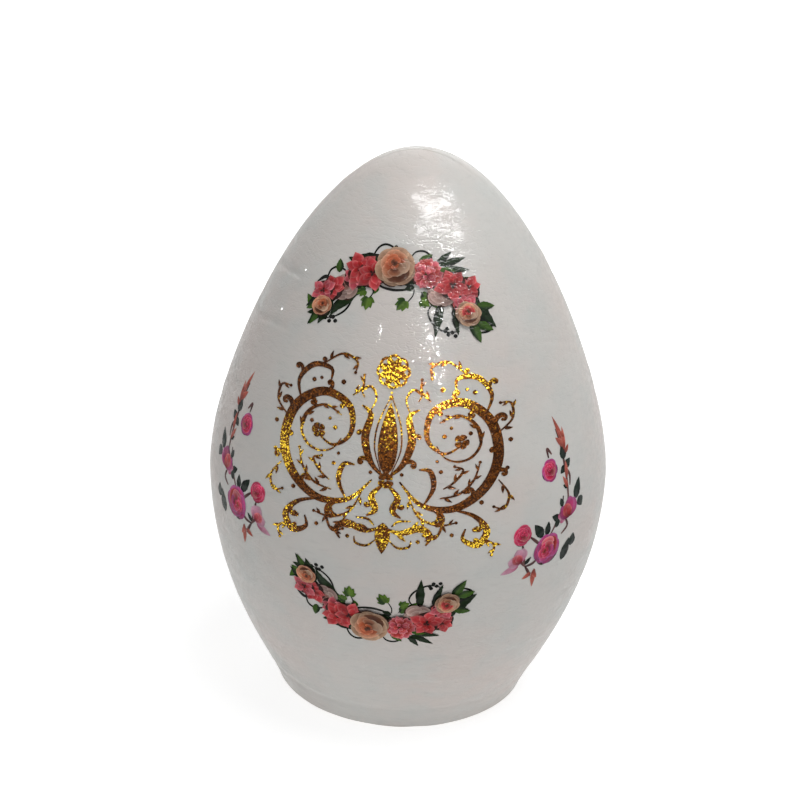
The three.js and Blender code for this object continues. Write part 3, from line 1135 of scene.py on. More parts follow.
class Stack:
    """Remembers how high the shapes laid so far reach, in small cells of a drawing."""

    def __init__(self, cell: float = 0.4, half: float = 36.0) -> None:
        """Starts with nothing laid.

        Args:
            cell: Side of a cell in millimetres.
            half: Half the side of the field.
        """
        self.cell = cell
        self.half = half
        count = int(2 * half / cell) + 3
        self.tops = np.zeros((count, count))

    def add(self, u: Array, v: Array, step: float) -> float:
        """Lays a shape over all that it touches.

        Args:
            u: Its points across.
            v: Its points up.
            step: Thickness of the shape.

        Returns:
            The height of its top.
        """
        columns = np.rint((u + self.half) / self.cell).astype(int) + 1
        rows = np.rint((v + self.half) / self.cell).astype(int) + 1
        top = float(self.tops[columns, rows].max()) + step
        for aside in (-1, 0, 1):
            for above in (-1, 0, 1):
                cells = (columns + aside, rows + above)
                self.tops[cells] = np.maximum(self.tops[cells], top)
        return top


@dataclass(frozen=True)
class Place:
    """Where a drawing's centre sits on the egg, and how it is turned and mirrored."""

    azimuth: float
    height: float
    turn: float = 0.0
    mirror_u: bool = False
    mirror_v: bool = False


@dataclass
class Drawing:
    """Flat shapes in millimetres, gathered and then laid on the egg as one piece."""

    form: EggForm
    relief: TissueRelief
    seed: int = 1
    step: float = 0.004
    glow: float = 0.2
    glow_from: float = 25.0
    petal_sway: float = 7.0
    petal_spread: float = 0.12
    petal_wave: float = 0.025
    petal_round: float = 0.2
    petal_uneven: float = 0.05
    nearest: float = -0.004
    farthest: float = 0.035
    halvings: int = 26

    def __post_init__(self) -> None:
        """Models the stamps."""
        self.rng = np.random.default_rng(self.seed)
        self.pieces: list[Piece] = []
        self.stack = Stack()
        self.stamps = {shape: Stamp(shape) for shape in Shape}

    def vary(self, amount: float) -> float:
        """A small random difference, no larger than an amount."""
        return float(self.rng.uniform(-amount, amount))

    def lay(self, stamp: Stamp, u: Array, v: Array, colours: Array) -> None:
        """Copies a stamp to its place, on top of what it covers."""
        copy = stamp.copy()
        layer = self.stack.add(u, v, self.step)
        set_points(copy.data, np.column_stack([u, v, np.full(len(u), layer)]))
        ink = copy.data.color_attributes.new(name=INK, type="FLOAT_COLOR", domain="POINT")
        ink.data.foreach_set("color", colours.astype(np.float32).ravel())
        self.pieces.append(copy)

    def fan(
        self,
        centre: Point,
        turn: float,
        half: float,
        inner: float,
        outer: float,
        ink: Ink,
        frill: float = 0.0,
    ) -> None:
        """Lays a petal that spreads like a fan.

        Args:
            centre: The bloom's centre.
            turn: The angle of the petal's middle, in degrees.
            half: Half the angle that it spreads over, in degrees.
            inner: Radius of its root.
            outer: Radius of its rim.
            ink: Its colours.
            frill: How jagged its rim is, as a share of its length.
        """
        stamp = self.stamps[Shape.PETAL]
        turn += self.vary(self.petal_sway)
        angle = np.radians(turn + half * (1 + self.vary(self.petal_spread)) * stamp.across)
        wave = self.petal_wave * np.sin(2.6 * stamp.across + self.vary(3))
        corners = self.petal_round * np.abs(stamp.across) ** 3.2
        rim = outer * (1 - corners + wave + self.vary(self.petal_uneven))
        rim = rim * (1 + frill * np.sin(stamp.across * 9 + turn))
        reach = inner + (rim - inner) * stamp.along
        u = centre[0] + reach * np.cos(angle)
        v = centre[1] + reach * np.sin(angle)
        colours = ink.paint(stamp.across, stamp.along, self.rng)
        colours[:, :3] *= 1 + self.glow * np.sin(angle - math.radians(self.glow_from))[:, None]
        self.lay(stamp, u, v, colours)

    def blade(
        self,
        root: Point,
        turn: float,
        length: float,
        width: float,
        ink: Ink | LeafInk,
        bend: float = 0.0,
        teeth: float = 0.0,
        bite: float = 0.0,
        belly: float = 0.75,
        full: float = 0.85,
    ) -> None:
        """Lays a leaf or a pointed petal.

        Args:
            root: Its stalk end.
            turn: The way it points, in degrees.
            length: Its length.
            width: Its greatest width.
            ink: Its colours.
            bend: How far its tip bends sideways, as a share of its length.
            teeth: Number of teeth along each edge.
            bite: Depth of a tooth, as a share of the width.
            belly: Moves its widest place towards the root, the more the lower it is.
            full: How pointed it is, rounder the lower it is.
        """
        stamp = self.stamps[Shape.LEAF]
        wide = np.sin(np.pi * np.clip(stamp.along, 0.001, 0.999) ** belly) ** full
        saw = 1 - bite * ((stamp.along * teeth) % 1.0)
        side = 0.5 * width * wide * saw * stamp.across
        ahead = length * stamp.along
        side = side + bend * length * stamp.along**2
        a = math.radians(turn)
        u = root[0] + ahead * math.cos(a) - side * math.sin(a)
        v = root[1] + ahead * math.sin(a) + side * math.cos(a)
        self.lay(stamp, u, v, ink.paint(stamp.across, stamp.along, self.rng))

    def pen(self, points: Sequence[Point], thin: float, thick: float, ink: Ink, lean: float = 0.5) -> None:
        """Lays a pen stroke along a smooth line, thin at its ends and thick between.

        Args:
            points: Points that the line passes through.
            thin: Width at both ends.
            thick: Width at its thickest.
            ink: Its colours.
            lean: Where it is thickest, as a share of its length.
        """
        stamp = self.stamps[Shape.LONG_STROKE if len(points) > 5 else Shape.SHORT_STROKE]
        at, along = spline(points, stamp.along)
        bulge = math.log(0.5) / math.log(lean)
        swell = np.clip(np.sin(np.pi * np.clip(stamp.along, 0, 1) ** bulge), 0, 1) ** 1.4
        half = (thin + (thick - thin) * swell) / 2
        u = at[:, 0] + along[:, 1] * half * stamp.across
        v = at[:, 1] - along[:, 0] * half * stamp.across
        self.lay(stamp, u, v, ink.paint(stamp.across, stamp.along, self.rng))

    def dot(self, centre: Point, radius: float, ink: Ink) -> None:
        """Lays a round spot."""
        stamp = self.stamps[Shape.DOT]
        rim = np.sqrt(np.clip(1 - (2 * stamp.along - 1) ** 2, 0.02, 1))
        u = centre[0] + radius * stamp.across * rim
        v = centre[1] + radius * (2 * stamp.along - 1)
        self.lay(stamp, u, v, ink.paint(stamp.across, stamp.along, self.rng))

    def finish(self, name: str, place: Place, thickness: float, lift: float) -> Piece:
        """Joins the shapes and lays them on the egg.

        Args:
            name: The piece's name.
            place: Where it sits.
            thickness: Its thickness in metres.
            lift: Height of the lowest shape above the tissue, in metres.

        Returns:
            The piece.
        """
        deselect()
        for copy in self.pieces:
            copy.select_set(True)
        bpy.context.view_layer.objects.active = self.pieces[0]
        bpy.ops.object.join()
        piece = bpy.context.object
        piece.name = name
        for stamp in self.stamps.values():
            stamp.remove()
        self.wrap(piece.data, place, lift)
        self.turn_out(piece, way_at(place.azimuth))
        thicken(piece, thickness)
        smooth(piece, 30)
        return piece

    def turn_out(self, piece: Piece, way: Vector) -> None:
        """Flips every shape that faces into the egg."""
        take(piece)
        edit("DESELECT")
        leave_edit()
        for face in piece.data.polygons:
            face.select = face.normal.dot(way) < 0
        bpy.ops.object.mode_set(mode="EDIT")
        bpy.ops.mesh.flip_normals()
        leave_edit()

    def wrap(self, mesh: Mesh, place: Place, lift: float) -> None:
        """Drops the flat drawing straight onto the egg at its place, and over the tissue's relief."""
        flat = points_of(mesh) * MM
        u = -flat[:, 0] if place.mirror_u else flat[:, 0]
        v = -flat[:, 1] if place.mirror_v else flat[:, 1]
        turn, round_by = math.radians(place.turn), math.radians(place.azimuth)
        u, v = u * math.cos(turn) - v * math.sin(turn), u * math.sin(turn) + v * math.cos(turn)
        height = place.height * MM
        radius = float(self.form.radius(np.array([height]))[0])
        slope = float(self.form.slope(np.array([height]))[0])
        out = Vector((math.sin(round_by), -math.cos(round_by), -slope)).normalized()
        right = Vector((math.cos(round_by), math.sin(round_by), 0))
        up = out.cross(right)
        origin = Vector((radius * math.sin(round_by), -radius * math.cos(round_by), height))
        start = np.array(origin) + u[:, None] * np.array(right) + v[:, None] * np.array(up)
        near, far = np.full(len(u), self.nearest), np.full(len(u), self.farthest)
        for _ in range(self.halvings):
            middle = (near + far) / 2
            points = start - middle[:, None] * np.array(out)
            outside = np.hypot(points[:, 0], points[:, 1]) > self.form.radius(points[:, 2])
            near, far = np.where(outside, middle, near), np.where(outside, far, middle)
        points = start - ((near + far) / 2)[:, None] * np.array(out)
        rise = self.relief.broad(points) + lift + flat[:, 2]
        set_points(mesh, points + self.form.outward(points) * rise[:, None])


# Flowers


class Inks:
    """The printer's colours for this set of transfers."""

    PEACH_OUTER = Ink(screen(84, 52, 36), screen(166, 128, 102), screen(196, 164, 136), 0.2)
    PEACH_MIDDLE = Ink(screen(92, 40, 22), screen(184, 116, 84), screen(212, 162, 132), 0.2)
    PEACH_HEART = Ink(screen(92, 34, 16), screen(178, 88, 56), screen(202, 124, 90), 0.2)
    CREAM = Ink(screen(150, 96, 70), screen(202, 160, 132), screen(220, 190, 164), 0.2)
    CORAL = Ink(screen(96, 8, 12), screen(190, 54, 60), screen(214, 116, 116), 0.22)
    CORAL_DEEP = Ink(screen(64, 2, 6), screen(160, 28, 32), screen(204, 84, 78), 0.22)
    BLUSH = Ink(screen(92, 66, 60), screen(164, 134, 126), screen(194, 170, 160), 0.2)
    BLUSH_HEART = Ink(screen(104, 54, 48), screen(160, 108, 98), screen(184, 146, 136), 0.2)
    PINK = Ink(screen(110, 16, 30), screen(192, 76, 88), screen(224, 140, 146), 0.22)
    PINK_HEART = Ink(screen(84, 8, 12), screen(172, 46, 46), screen(214, 104, 98), 0.22)
    MAGENTA = Ink(screen(116, 12, 56), screen(192, 54, 112), screen(176, 96, 156), 0.22)
    MAGENTA_HEART = Ink(screen(124, 4, 30), screen(204, 34, 78), screen(224, 104, 138), 0.22)
    PALE = Ink(screen(176, 76, 116), screen(204, 142, 166), screen(208, 172, 188))
    TIP = Ink(screen(128, 50, 42), screen(186, 90, 76), screen(204, 132, 114))
    DUSK = Ink(screen(26, 8, 6), screen(44, 16, 12), screen(60, 28, 20), 0.0)
    UMBER = Ink(screen(58, 24, 12), screen(92, 50, 30), screen(124, 80, 56))
    VINE = Ink(screen(3, 5, 2), screen(6, 9, 4), screen(12, 16, 8), 0.0, 0.02)
    STALK = Ink(screen(54, 28, 32), screen(88, 56, 56), screen(122, 88, 84))
    DARK_LEAF = LeafInk(screen(2, 9, 3), screen(22, 44, 14), screen(34, 58, 24))
    LEAF = LeafInk(screen(12, 36, 8), screen(64, 100, 28), screen(84, 118, 44))
    IVY = LeafInk(screen(34, 66, 16), screen(96, 130, 42), screen(116, 146, 62))
    TEAL_LEAF = LeafInk(screen(3, 10, 7), screen(18, 36, 26), screen(30, 50, 38))
    FOIL = Ink(screen(90, 56, 18), screen(150, 100, 30), screen(190, 140, 50))


@dataclass(frozen=True)
class Bloom:
    """A flower of one kind, drawn ring by ring from its outer petals to its heart."""

    at: Point
    radius: float
    turn: float = 0.0

    def ahead(self, share: float) -> Point:
        """A point along the bloom's turn, a share of its radius from its centre."""
        a, reach = math.radians(self.turn), share * self.radius
        return self.at[0] + reach * math.cos(a), self.at[1] + reach * math.sin(a)

    def shade(self, drawing: Drawing) -> None:
        """Darkens the foliage round the bloom, a little more below it."""
        centre = (self.at[0] + 0.04 * self.radius, self.at[1] - 0.08 * self.radius)
        for petal in range(4):
            turn = self.turn + 20 + 90 * petal
            drawing.fan(centre, turn, 50, 0.2 * self.radius, 0.96 * self.radius, Inks.DUSK)

    def rose(self, drawing: Drawing, outer: Ink, middle: Ink, heart: Ink, lean: Point = (0.0, 0.0)) -> None:
        """Draws a full rose whose heart may sit off its centre.

        Args:
            drawing: Where it is drawn.
            outer: Colours of its outer petals.
            middle: Colours of its middle petals.
            heart: Colours of its heart.
            lean: How far the heart sits from the centre, as a share of the radius.
        """
        rings = (
            (1.0, 5, 0.5, 46, outer),
            (0.8, 4, 0.3, 54, middle),
            (0.6, 3, 0.16, 66, middle),
            (0.42, 3, 0.06, 62, heart),
            (0.24, 2, 0.0, 80, heart),
        )
        self.shade(drawing)
        for count, (share, petals, inner, half, ink) in enumerate(rings):
            drift = (1 - share) * self.radius
            centre = (self.at[0] + lean[0] * drift, self.at[1] + lean[1] * drift)
            for petal in range(petals):
                turn = self.turn + 47 * count + 360 * petal / petals + drawing.vary(12)
                reach = share * self.radius * (1 + drawing.vary(0.07))
                drawing.fan(centre, turn, half, inner * self.radius, reach, ink)

    def cupped(self, drawing: Drawing, outer: Ink, middle: Ink, heart: Ink, light: Ink, deep: Ink) -> None:
        """Draws a rose seen a little from its side, so that its heart leans along its turn.

        Args:
            drawing: Where it is drawn.
            outer: Colours of its open outer petals.
            middle: Colours of the petals round the cup.
            heart: Colours of the folded heart.
            light: Colours of the petals that catch the light.
            deep: Colour of the gap under the cup.
        """
        self.shade(drawing)
        rows = (
            (0.0, (20, 90, 150, 215, 285, 335), 44, 0.45, 1.0, outer),
            (0.0, (130, 230), 40, 0.35, 0.88, outer),
            (0.0, (180,), 66, 0.3, 0.8, deep),
            (0.1, (-8, 62, 300), 46, 0.2, 0.74, middle),
            (0.06, (112,), 44, 0.2, 0.7, middle),
            (0.06, (248,), 46, 0.2, 0.76, light),
            (0.16, (10, 100, 260), 56, 0.1, 0.52, heart),
            (0.2, (60, 180, 310), 60, 0.04, 0.34, heart),
            (0.22, (30, 210), 80, 0.0, 0.17, deep),
            (0.12, (205,), 56, 0.2, 0.62, light),
            (0.1, (158,), 40, 0.26, 0.58, middle),
        )
        for share, turns, half, inner, reach, ink in rows:
            for turn in turns:
                root, rim = inner * self.radius, reach * self.radius
                drawing.fan(self.ahead(share), self.turn + turn, half, root, rim, ink)

    def azalea(self, drawing: Drawing, petals: Ink, throat: Ink) -> None:
        """Draws an open flower with pointed, wavy petals in three uneven whorls and a dark throat."""
        self.shade(drawing)
        whorls = (
            (6, 1.14, 0.66, petals),
            (5, 0.86, 0.62, petals),
            (4, 0.56, 0.62, throat),
            (3, 0.28, 0.6, Inks.DUSK),
        )
        for whorl, (count, reach, wide, ink) in enumerate(whorls):
            for petal in range(count):
                turn = self.turn + 37 * whorl + 360 * petal / count + drawing.vary(14)
                length = reach * self.radius * (1 + drawing.vary(0.16))
                bend = drawing.vary(0.2)
                drawing.blade(self.at, turn, length, wide * length, ink, belly=1.12, full=1.15, bend=bend)

    def carnation(self, drawing: Drawing, petals: Ink, heart: Ink) -> None:
        """Draws a round flower of ruffled petals, rings of two colours in turn."""
        self.shade(drawing)
        rings = (
            (1.0, 7, 0.45, petals),
            (0.86, 6, 0.3, heart),
            (0.72, 5, 0.2, petals),
            (0.52, 4, 0.1, heart),
            (0.36, 3, 0.0, petals),
        )
        for count, (share, number, inner, ink) in enumerate(rings):
            centre = tuple(place + drawing.vary(0.4) * count / 2 for place in self.at)
            for petal in range(number):
                turn = self.turn + 23 * count + 360 * petal / number + drawing.vary(14)
                reach = share * self.radius * (1 + drawing.vary(0.1))
                drawing.fan(centre, turn, 33, inner * self.radius, reach, ink, frill=0.08)

    def bud(self, drawing: Drawing, petals: Ink, heart: Ink) -> None:
        """Draws a half-open rosebud seen from its side."""
        for turn, reach, ink in (
            (-38, 0.95, petals),
            (38, 0.95, petals),
            (-14, 1.05, petals),
            (16, 0.85, heart),
            (0, 0.6, heart),
        ):
            length = 1.7 * reach * self.radius * (1 + drawing.vary(0.06))
            root, width = self.ahead(-0.7), 0.8 * length
            drawing.blade(root, self.turn + turn, length, width, ink, belly=1.1, full=0.7)


@dataclass
class Transfer:
    """A cut-out print, drawn flat from back to front and laid on the egg."""

    form: EggForm
    relief: TissueRelief
    name: str
    node: str
    place: Place
    seed: int
    film: float = 0.000002
    lift: float = 0.00003
    slot: ClassVar[str]

    def build(self, material: Material) -> Piece:
        """Draws the print and lays it on the egg.

        Args:
            material: The printed tissue.

        Returns:
            The print.
        """
        drawing = Drawing(self.form, self.relief, self.seed)
        self.draw_stems(drawing)
        self.draw_leaves(drawing)
        self.draw_blooms(drawing)
        piece = drawing.finish(self.name, self.place, self.film, self.lift)
        dress(piece, material)
        seat(piece, self.node)
        return piece

    def draw_stems(self, drawing: Drawing) -> None:
        """Draws what lies at the back."""
        raise NotImplementedError

    def draw_leaves(self, drawing: Drawing) -> None:
        """Draws the leaves."""
        raise NotImplementedError

    def draw_blooms(self, drawing: Drawing) -> None:
        """Draws the flowers, which lie in front."""
        raise NotImplementedError


@dataclass
class Garland(Transfer):
    """The arched garland: dark tendrils and leaves under a row of roses, azaleas and a carnation."""

    slot: ClassVar[str] = "garland_print"
    arch_radius: float = 24.0
    arch_drop: float = 16.2
    filling: int = 64

    def on_arch(self, angle: float, lift: float = 0.0) -> Point:
        """A point of the arch at an angle from its top, and so many millimetres outside it."""
        reach = self.arch_radius + lift
        return (
            reach * math.sin(math.radians(angle)),
            reach * math.cos(math.radians(angle)) - self.arch_drop,
        )

    def draw_stems(self, drawing: Drawing) -> None:
        """Draws the vine, its curled tendrils and their berries."""
        vine = Inks.VINE
        arch = [self.on_arch(angle, -0.9) for angle in (-58, -44, -30, -15, 0, 15, 30, 44, 56)]
        drawing.pen(arch, 0.5, 1.6, vine)
        drawing.pen([(-7.4, 9.6), (-6.2, 12.0), (-4.6, 12.9), (-2.8, 12.3), (-2.3, 10.9)], 0.35, 0.55, vine)
        drawing.pen([(-2.3, 10.9), (-3.0, 10.3), (-4.1, 10.5)], 0.3, 0.5, vine)
        drawing.dot((-2.1, 12.4), 0.45, vine)
        for thin, thick, points in (
            (0.3, 0.5, [(1.6, 10.3), (2.6, 11.6), (4.4, 11.9), (5.9, 11.0), (6.3, 10.0)]),
            (0.35, 0.55, [(-17.9, 4.4), (-17.2, 6.6), (-15.6, 7.4), (-14.0, 6.8), (-13.2, 6.2)]),
            (0.2, 0.9, [(-20.4, 3.9), (-18.4, 5.1), (-16.8, 4.6)]),
            (0.3, 0.6, [(13.0, 5.9), (14.8, 6.6), (16.7, 5.6), (17.4, 3.7), (16.9, 2.6)]),
            (0.35, 0.6, [(-6.6, 4.4), (-4.6, 2.9), (-1.8, 2.3), (1.0, 2.6), (2.6, 3.6)]),
            (0.25, 0.5, [(-11.9, 1.4), (-11.5, -0.9), (-12.8, -3.0), (-14.8, -4.2), (-17.0, -4.7)]),
            (0.25, 0.5, [(8.2, 0.4), (6.6, -1.6), (7.3, -3.9), (9.5, -5.7), (11.4, -6.2), (14, -5.6)]),
            (0.3, 0.55, [
                (16.6, -4.6), (18.6, -5.2), (20.6, -4.3), (20.8, -2.2), (19.6, -1.5), (18.9, -2.6),
            ]),
        ):
            drawing.pen(points, thin, thick, vine)
        for spot in ((-15.4, -4.5), (-16.3, -5.4), (-14.8, -5.4), (-17.3, -4.6), (-16.0, -4.4)):
            drawing.dot(spot, 0.5, vine)
        for spot in ((10.8, -6.0), (11.6, -6.7), (12.4, -6.1), (13.2, -6.8), (11.2, -5.4)):
            drawing.dot(spot, 0.48, vine)

    def draw_leaves(self, drawing: Drawing) -> None:
        """Draws the dark foliage behind the blooms, then the light leaves and ivy."""
        self.draw_foliage(drawing)
        self.draw_light_leaves(drawing)
        self.draw_ivy(drawing)

    def draw_foliage(self, drawing: Drawing) -> None:
        """Draws small leaves all along the arch, then the large dark ones."""
        dark, leaf = Inks.DARK_LEAF, Inks.LEAF
        for count in range(self.filling):
            angle = -56 + 107 * count / (self.filling - 1)
            root = self.on_arch(angle, drawing.vary(1.4) - 0.7)
            turn = 90 - angle + (80 + drawing.vary(60)) * (1 if count % 2 else -1)
            length = 3.3 + drawing.vary(1.0)
            ink = dark if count % 5 else leaf
            bend = drawing.vary(0.12)
            drawing.blade(root, turn, length, 0.46 * length, ink, teeth=4, bite=0.15, bend=bend)
        for root, turn, length, width in (
            ((-4.5, 9.4), 176, 7.6, 2.6),
            ((-9.0, 7.6), 150, 4.6, 2.2),
            ((-8.6, 3.4), 214, 5.2, 2.2),
            ((-10.2, 1.8), 226, 6.0, 2.2),
            ((-13.0, 0.4), 232, 5.6, 2.2),
            ((-15.8, -0.6), 236, 6.4, 2.6),
            ((-17.2, -1.6), 222, 6.4, 2.4),
            ((-18.6, 0.6), 208, 4.6, 2.0),
            ((3.2, 5.0), 200, 3.4, 2.2),
            ((7.4, 9.2), 46, 4.6, 1.6),
            ((8.2, 9.0), 24, 6.2, 1.8),
            ((8.6, 8.2), 4, 6.4, 1.8),
            ((9.2, 7.6), -14, 5.4, 1.8),
            ((9.4, 0.4), 262, 8.2, 2.3),
            ((12.2, -0.4), 282, 6.4, 1.7),
            ((15.6, 1.8), 318, 8.2, 3.4),
            ((13.8, 2.6), 300, 5.0, 2.2),
            ((3.0, 3.4), 196, 2.4, 1.6),
        ):
            drawing.blade(root, turn, length, width, dark, teeth=6, bite=0.22, bend=0.05)

    def draw_light_leaves(self, drawing: Drawing) -> None:
        """Draws the light leaves between the blooms."""
        for root, turn, length, width in (
            ((-8.8, 8.0), 128, 2.6, 1.5),
            ((-18.6, -1.0), 196, 4.0, 1.9),
            ((-19.2, -2.8), 236, 3.8, 1.8),
            ((-15.0, 6.0), 88, 3.4, 2.0),
            ((7.8, 7.8), 352, 5.0, 2.6),
            ((8.4, 6.6), 12, 4.6, 2.2),
            ((13.2, 5.8), 18, 3.0, 2.0),
            ((17.2, 0.8), 8, 4.0, 2.2),
            ((16.4, -2.6), 294, 5.6, 2.4),
            ((17.6, -3.0), 340, 4.0, 2.2),
            ((5.2, 2.6), 284, 3.6, 2.2),
            ((6.6, 1.8), 300, 3.4, 2.0),
            ((-5.6, 3.2), 250, 2.2, 1.8),
            ((3.4, 9.4), 30, 3.6, 1.6),
        ):
            drawing.blade(root, turn, length, width, Inks.LEAF, teeth=5, bite=0.16, bend=0.06)

    def draw_ivy(self, drawing: Drawing) -> None:
        """Draws the ivy leaves below the arch, on their stems."""
        stems = (((-6.3, 2.6), (-7.4, -0.2)), ((3.0, 2.8), (1.8, -0.2)), ((4.6, 2.4), (4.8, 0.2)))
        for start, end in stems:
            middle = ((start[0] + end[0]) / 2 + 0.4, (start[1] + end[1]) / 2)
            drawing.pen([start, middle, end], 0.25, 0.3, Inks.VINE)
        for root, turn, size in (
            ((-7.4, 0.2), 262, 3.0),
            ((-8.2, 1.8), 200, 2.2),
            ((1.2, 0.0), 232, 3.0),
            ((4.8, 0.4), 330, 2.4),
        ):
            for side, reach in ((-62, 0.66), (62, 0.66), (-26, 0.86), (26, 0.86), (0, 1.0)):
                drawing.blade(root, turn + side, size * reach, 0.62 * size * reach, Inks.IVY, belly=0.65)

    def draw_blooms(self, drawing: Drawing) -> None:
        """Draws the row of flowers, with the great rose last and on top."""
        pink, heart = Inks.PINK, Inks.PINK_HEART
        Bloom((15.0, 4.9), 2.5, 20).azalea(drawing, Inks.CORAL, Inks.CORAL_DEEP)
        Bloom((13.0, 1.8), 2.7, 70).azalea(drawing, Inks.CORAL, Inks.CORAL_DEEP)
        Bloom((9.0, 2.6), 3.3, 15).rose(drawing, Inks.BLUSH, Inks.BLUSH, Inks.BLUSH_HEART, (0.1, 0.2))
        Bloom((11.4, 4.8), 3.4, 48).azalea(drawing, Inks.CORAL, Inks.CORAL_DEEP)
        Bloom((5.3, 6.4), 3.5, 5).carnation(drawing, pink, heart)
        Bloom((14.6, 0.4), 2.6, 100).azalea(drawing, pink, Inks.CORAL)
        Bloom((15.5, -1.4), 2.8, 105).cupped(
            drawing, Inks.PEACH_OUTER, Inks.PEACH_MIDDLE, heart, Inks.CREAM, Inks.UMBER
        )
        Bloom((-13.4, 2.6), 3.2, 25).rose(drawing, Inks.BLUSH, Inks.BLUSH, Inks.BLUSH_HEART, (0.1, 0.25))
        Bloom((-16.2, 2.4), 2.9, 100).azalea(drawing, Inks.CORAL, Inks.CORAL_DEEP)
        Bloom((-18.4, 1.8), 2.6, 80).azalea(drawing, pink, Inks.CORAL)
        Bloom((-18.3, -1.8), 2.4, 70).cupped(
            drawing, Inks.PEACH_MIDDLE, Inks.PEACH_MIDDLE, Inks.PEACH_HEART, Inks.CREAM, Inks.UMBER
        )
        Bloom((-11.2, 5.0), 2.7, 205).azalea(drawing, pink, Inks.CORAL)
        Bloom((-9.6, 6.8), 3.5, 110).azalea(drawing, Inks.CORAL, Inks.CORAL_DEEP)
        Bloom((-6.8, 5.9), 3.3, 40).azalea(drawing, Inks.CORAL, Inks.CORAL_DEEP)
        Bloom((-1.7, 7.6), 4.6, 112).cupped(
            drawing, Inks.PEACH_OUTER, Inks.PEACH_MIDDLE, Inks.PEACH_HEART, Inks.CREAM, Inks.UMBER
        )


@dataclass
class Spray(Transfer):
    """A twig of rosebuds for a flank, drawn for the right-hand side."""

    slot: ClassVar[str] = "spray_print"

    def draw_stems(self, drawing: Drawing) -> None:
        """Draws the stems and tendrils."""
        stalk = Inks.STALK
        for points in (
            ((4.4, 18.0), (5.3, 14.0), (5.8, 10.0), (6.2, 5.0), (6.2, 0.5), (5.0, -2.6)),
            ((6.2, 8.0), (7.4, 6.0), (7.2, 3.4)),
            ((0.6, 12.0), (0.5, 14.2), (1.8, 12.6)),
            ((4.4, 1.6), (3.6, -1.6), (1.6, -4.4), (-0.4, -7.0)),
            ((4.6, -3.8), (5.8, -6.4), (3.6, -8.0)),
            ((-6.8, -5.6), (-5.0, -7.2), (-3.4, -8.8)),
            ((-9.0, -6.6), (-8.4, -10.0), (-7.6, -13.2)),
            ((-11.0, -9.4), (-9.2, -11.4), (-7.6, -13.2)),
            ((-7.6, -13.2), (-5.4, -13.0), (-3.6, -11.8)),
            ((-7.6, -13.2), (-6.4, -15.0), (-5.6, -16.4)),
        ):
            drawing.pen(points, 0.4, 0.8, stalk)

    def draw_leaves(self, drawing: Drawing) -> None:
        """Draws the dark leaves and coral tips."""
        teal = Inks.TEAL_LEAF
        for root, turn, length, width in (
            ((6.0, 10.2), 96, 3.6, 2.6),
            ((6.0, 8.2), 34, 2.8, 2.2),
            ((6.2, 8.6), 212, 2.6, 1.9),
            ((9.0, -0.7), 62, 5.4, 3.0),
            ((10.6, -0.6), -66, 3.0, 3.0),
            ((-2.8, -6.8), 122, 4.8, 2.6),
            ((-1.6, -6.8), 78, 3.6, 2.0),
            ((2.8, -3.8), 150, 3.0, 2.0),
            ((1.4, -5.6), 60, 2.8, 1.8),
            ((4.9, -15.6), 66, 5.8, 3.4),
            ((8.2, -12.8), 78, 3.4, 3.2),
            ((4.0, -1.0), 104, 2.4, 1.6),
            ((6.4, 3.2), 150, 2.0, 1.3),
            ((-7.8, -12.6), 40, 2.4, 1.2),
            ((-9.0, -9.6), 128, 1.8, 0.9),
        ):
            drawing.blade(root, turn, length, width, teal, teeth=4, bite=0.12, bend=0.04)
        for root, turn, length, width in (
            ((6.8, 12.4), 104, 9.4, 1.5),
            ((6.6, 13.2), 130, 4.0, 1.6),
            ((6.4, 12.2), 82, 5.8, 1.4),
            ((7.0, 15.4), 128, 2.6, 1.1),
            ((6.6, 11.6), 40, 2.4, 1.2),
            ((6.2, 5.4), 84, 4.4, 1.3),
            ((6.4, 3.0), 112, 3.8, 1.2),
            ((-4.6, -14.6), 268, 5.2, 1.6),
            ((-5.4, -15.6), 196, 2.8, 1.3),
            ((-5.0, -15.2), 300, 2.8, 1.2),
        ):
            drawing.blade(root, turn, length, width, Inks.TIP, bend=0.08)

    def draw_blooms(self, drawing: Drawing) -> None:
        """Draws the buds and the open rose."""
        magenta, heart = Inks.MAGENTA, Inks.MAGENTA_HEART
        drawing.blade((-9.6, -12.6), 186, 4.8, 1.9, Inks.PALE, bend=0.12)
        Bloom((-9.8, -10.4), 2.4, 128).bud(drawing, Inks.PALE, Inks.PINK)
        drawing.blade((2.2, -2.8), -24, 3.4, 2.0, Inks.PALE, bend=0.1)
        drawing.blade((3.0, -5.0), 34, 3.0, 1.6, Inks.PALE, bend=-0.1)
        Bloom((0.5, 9.0), 2.7, 80).cupped(drawing, magenta, heart, heart, Inks.PINK, heart)
        Bloom((6.2, -2.4), 2.9, 100).bud(drawing, Inks.MAGENTA, Inks.CORAL)
        Bloom((-9.0, -4.6), 2.6, 60).cupped(drawing, heart, heart, heart, Inks.PINK, heart)
        Bloom((-1.0, -10.4), 4.3, 200).cupped(drawing, magenta, magenta, heart, Inks.PINK, Inks.CORAL_DEEP)


# Gold


def mirrored(points: Sequence[Point], side: int) -> list[Point]:
    """Points as they are for a side of 1, and mirrored for -1."""
    return [(side * u, v) for u, v in points]


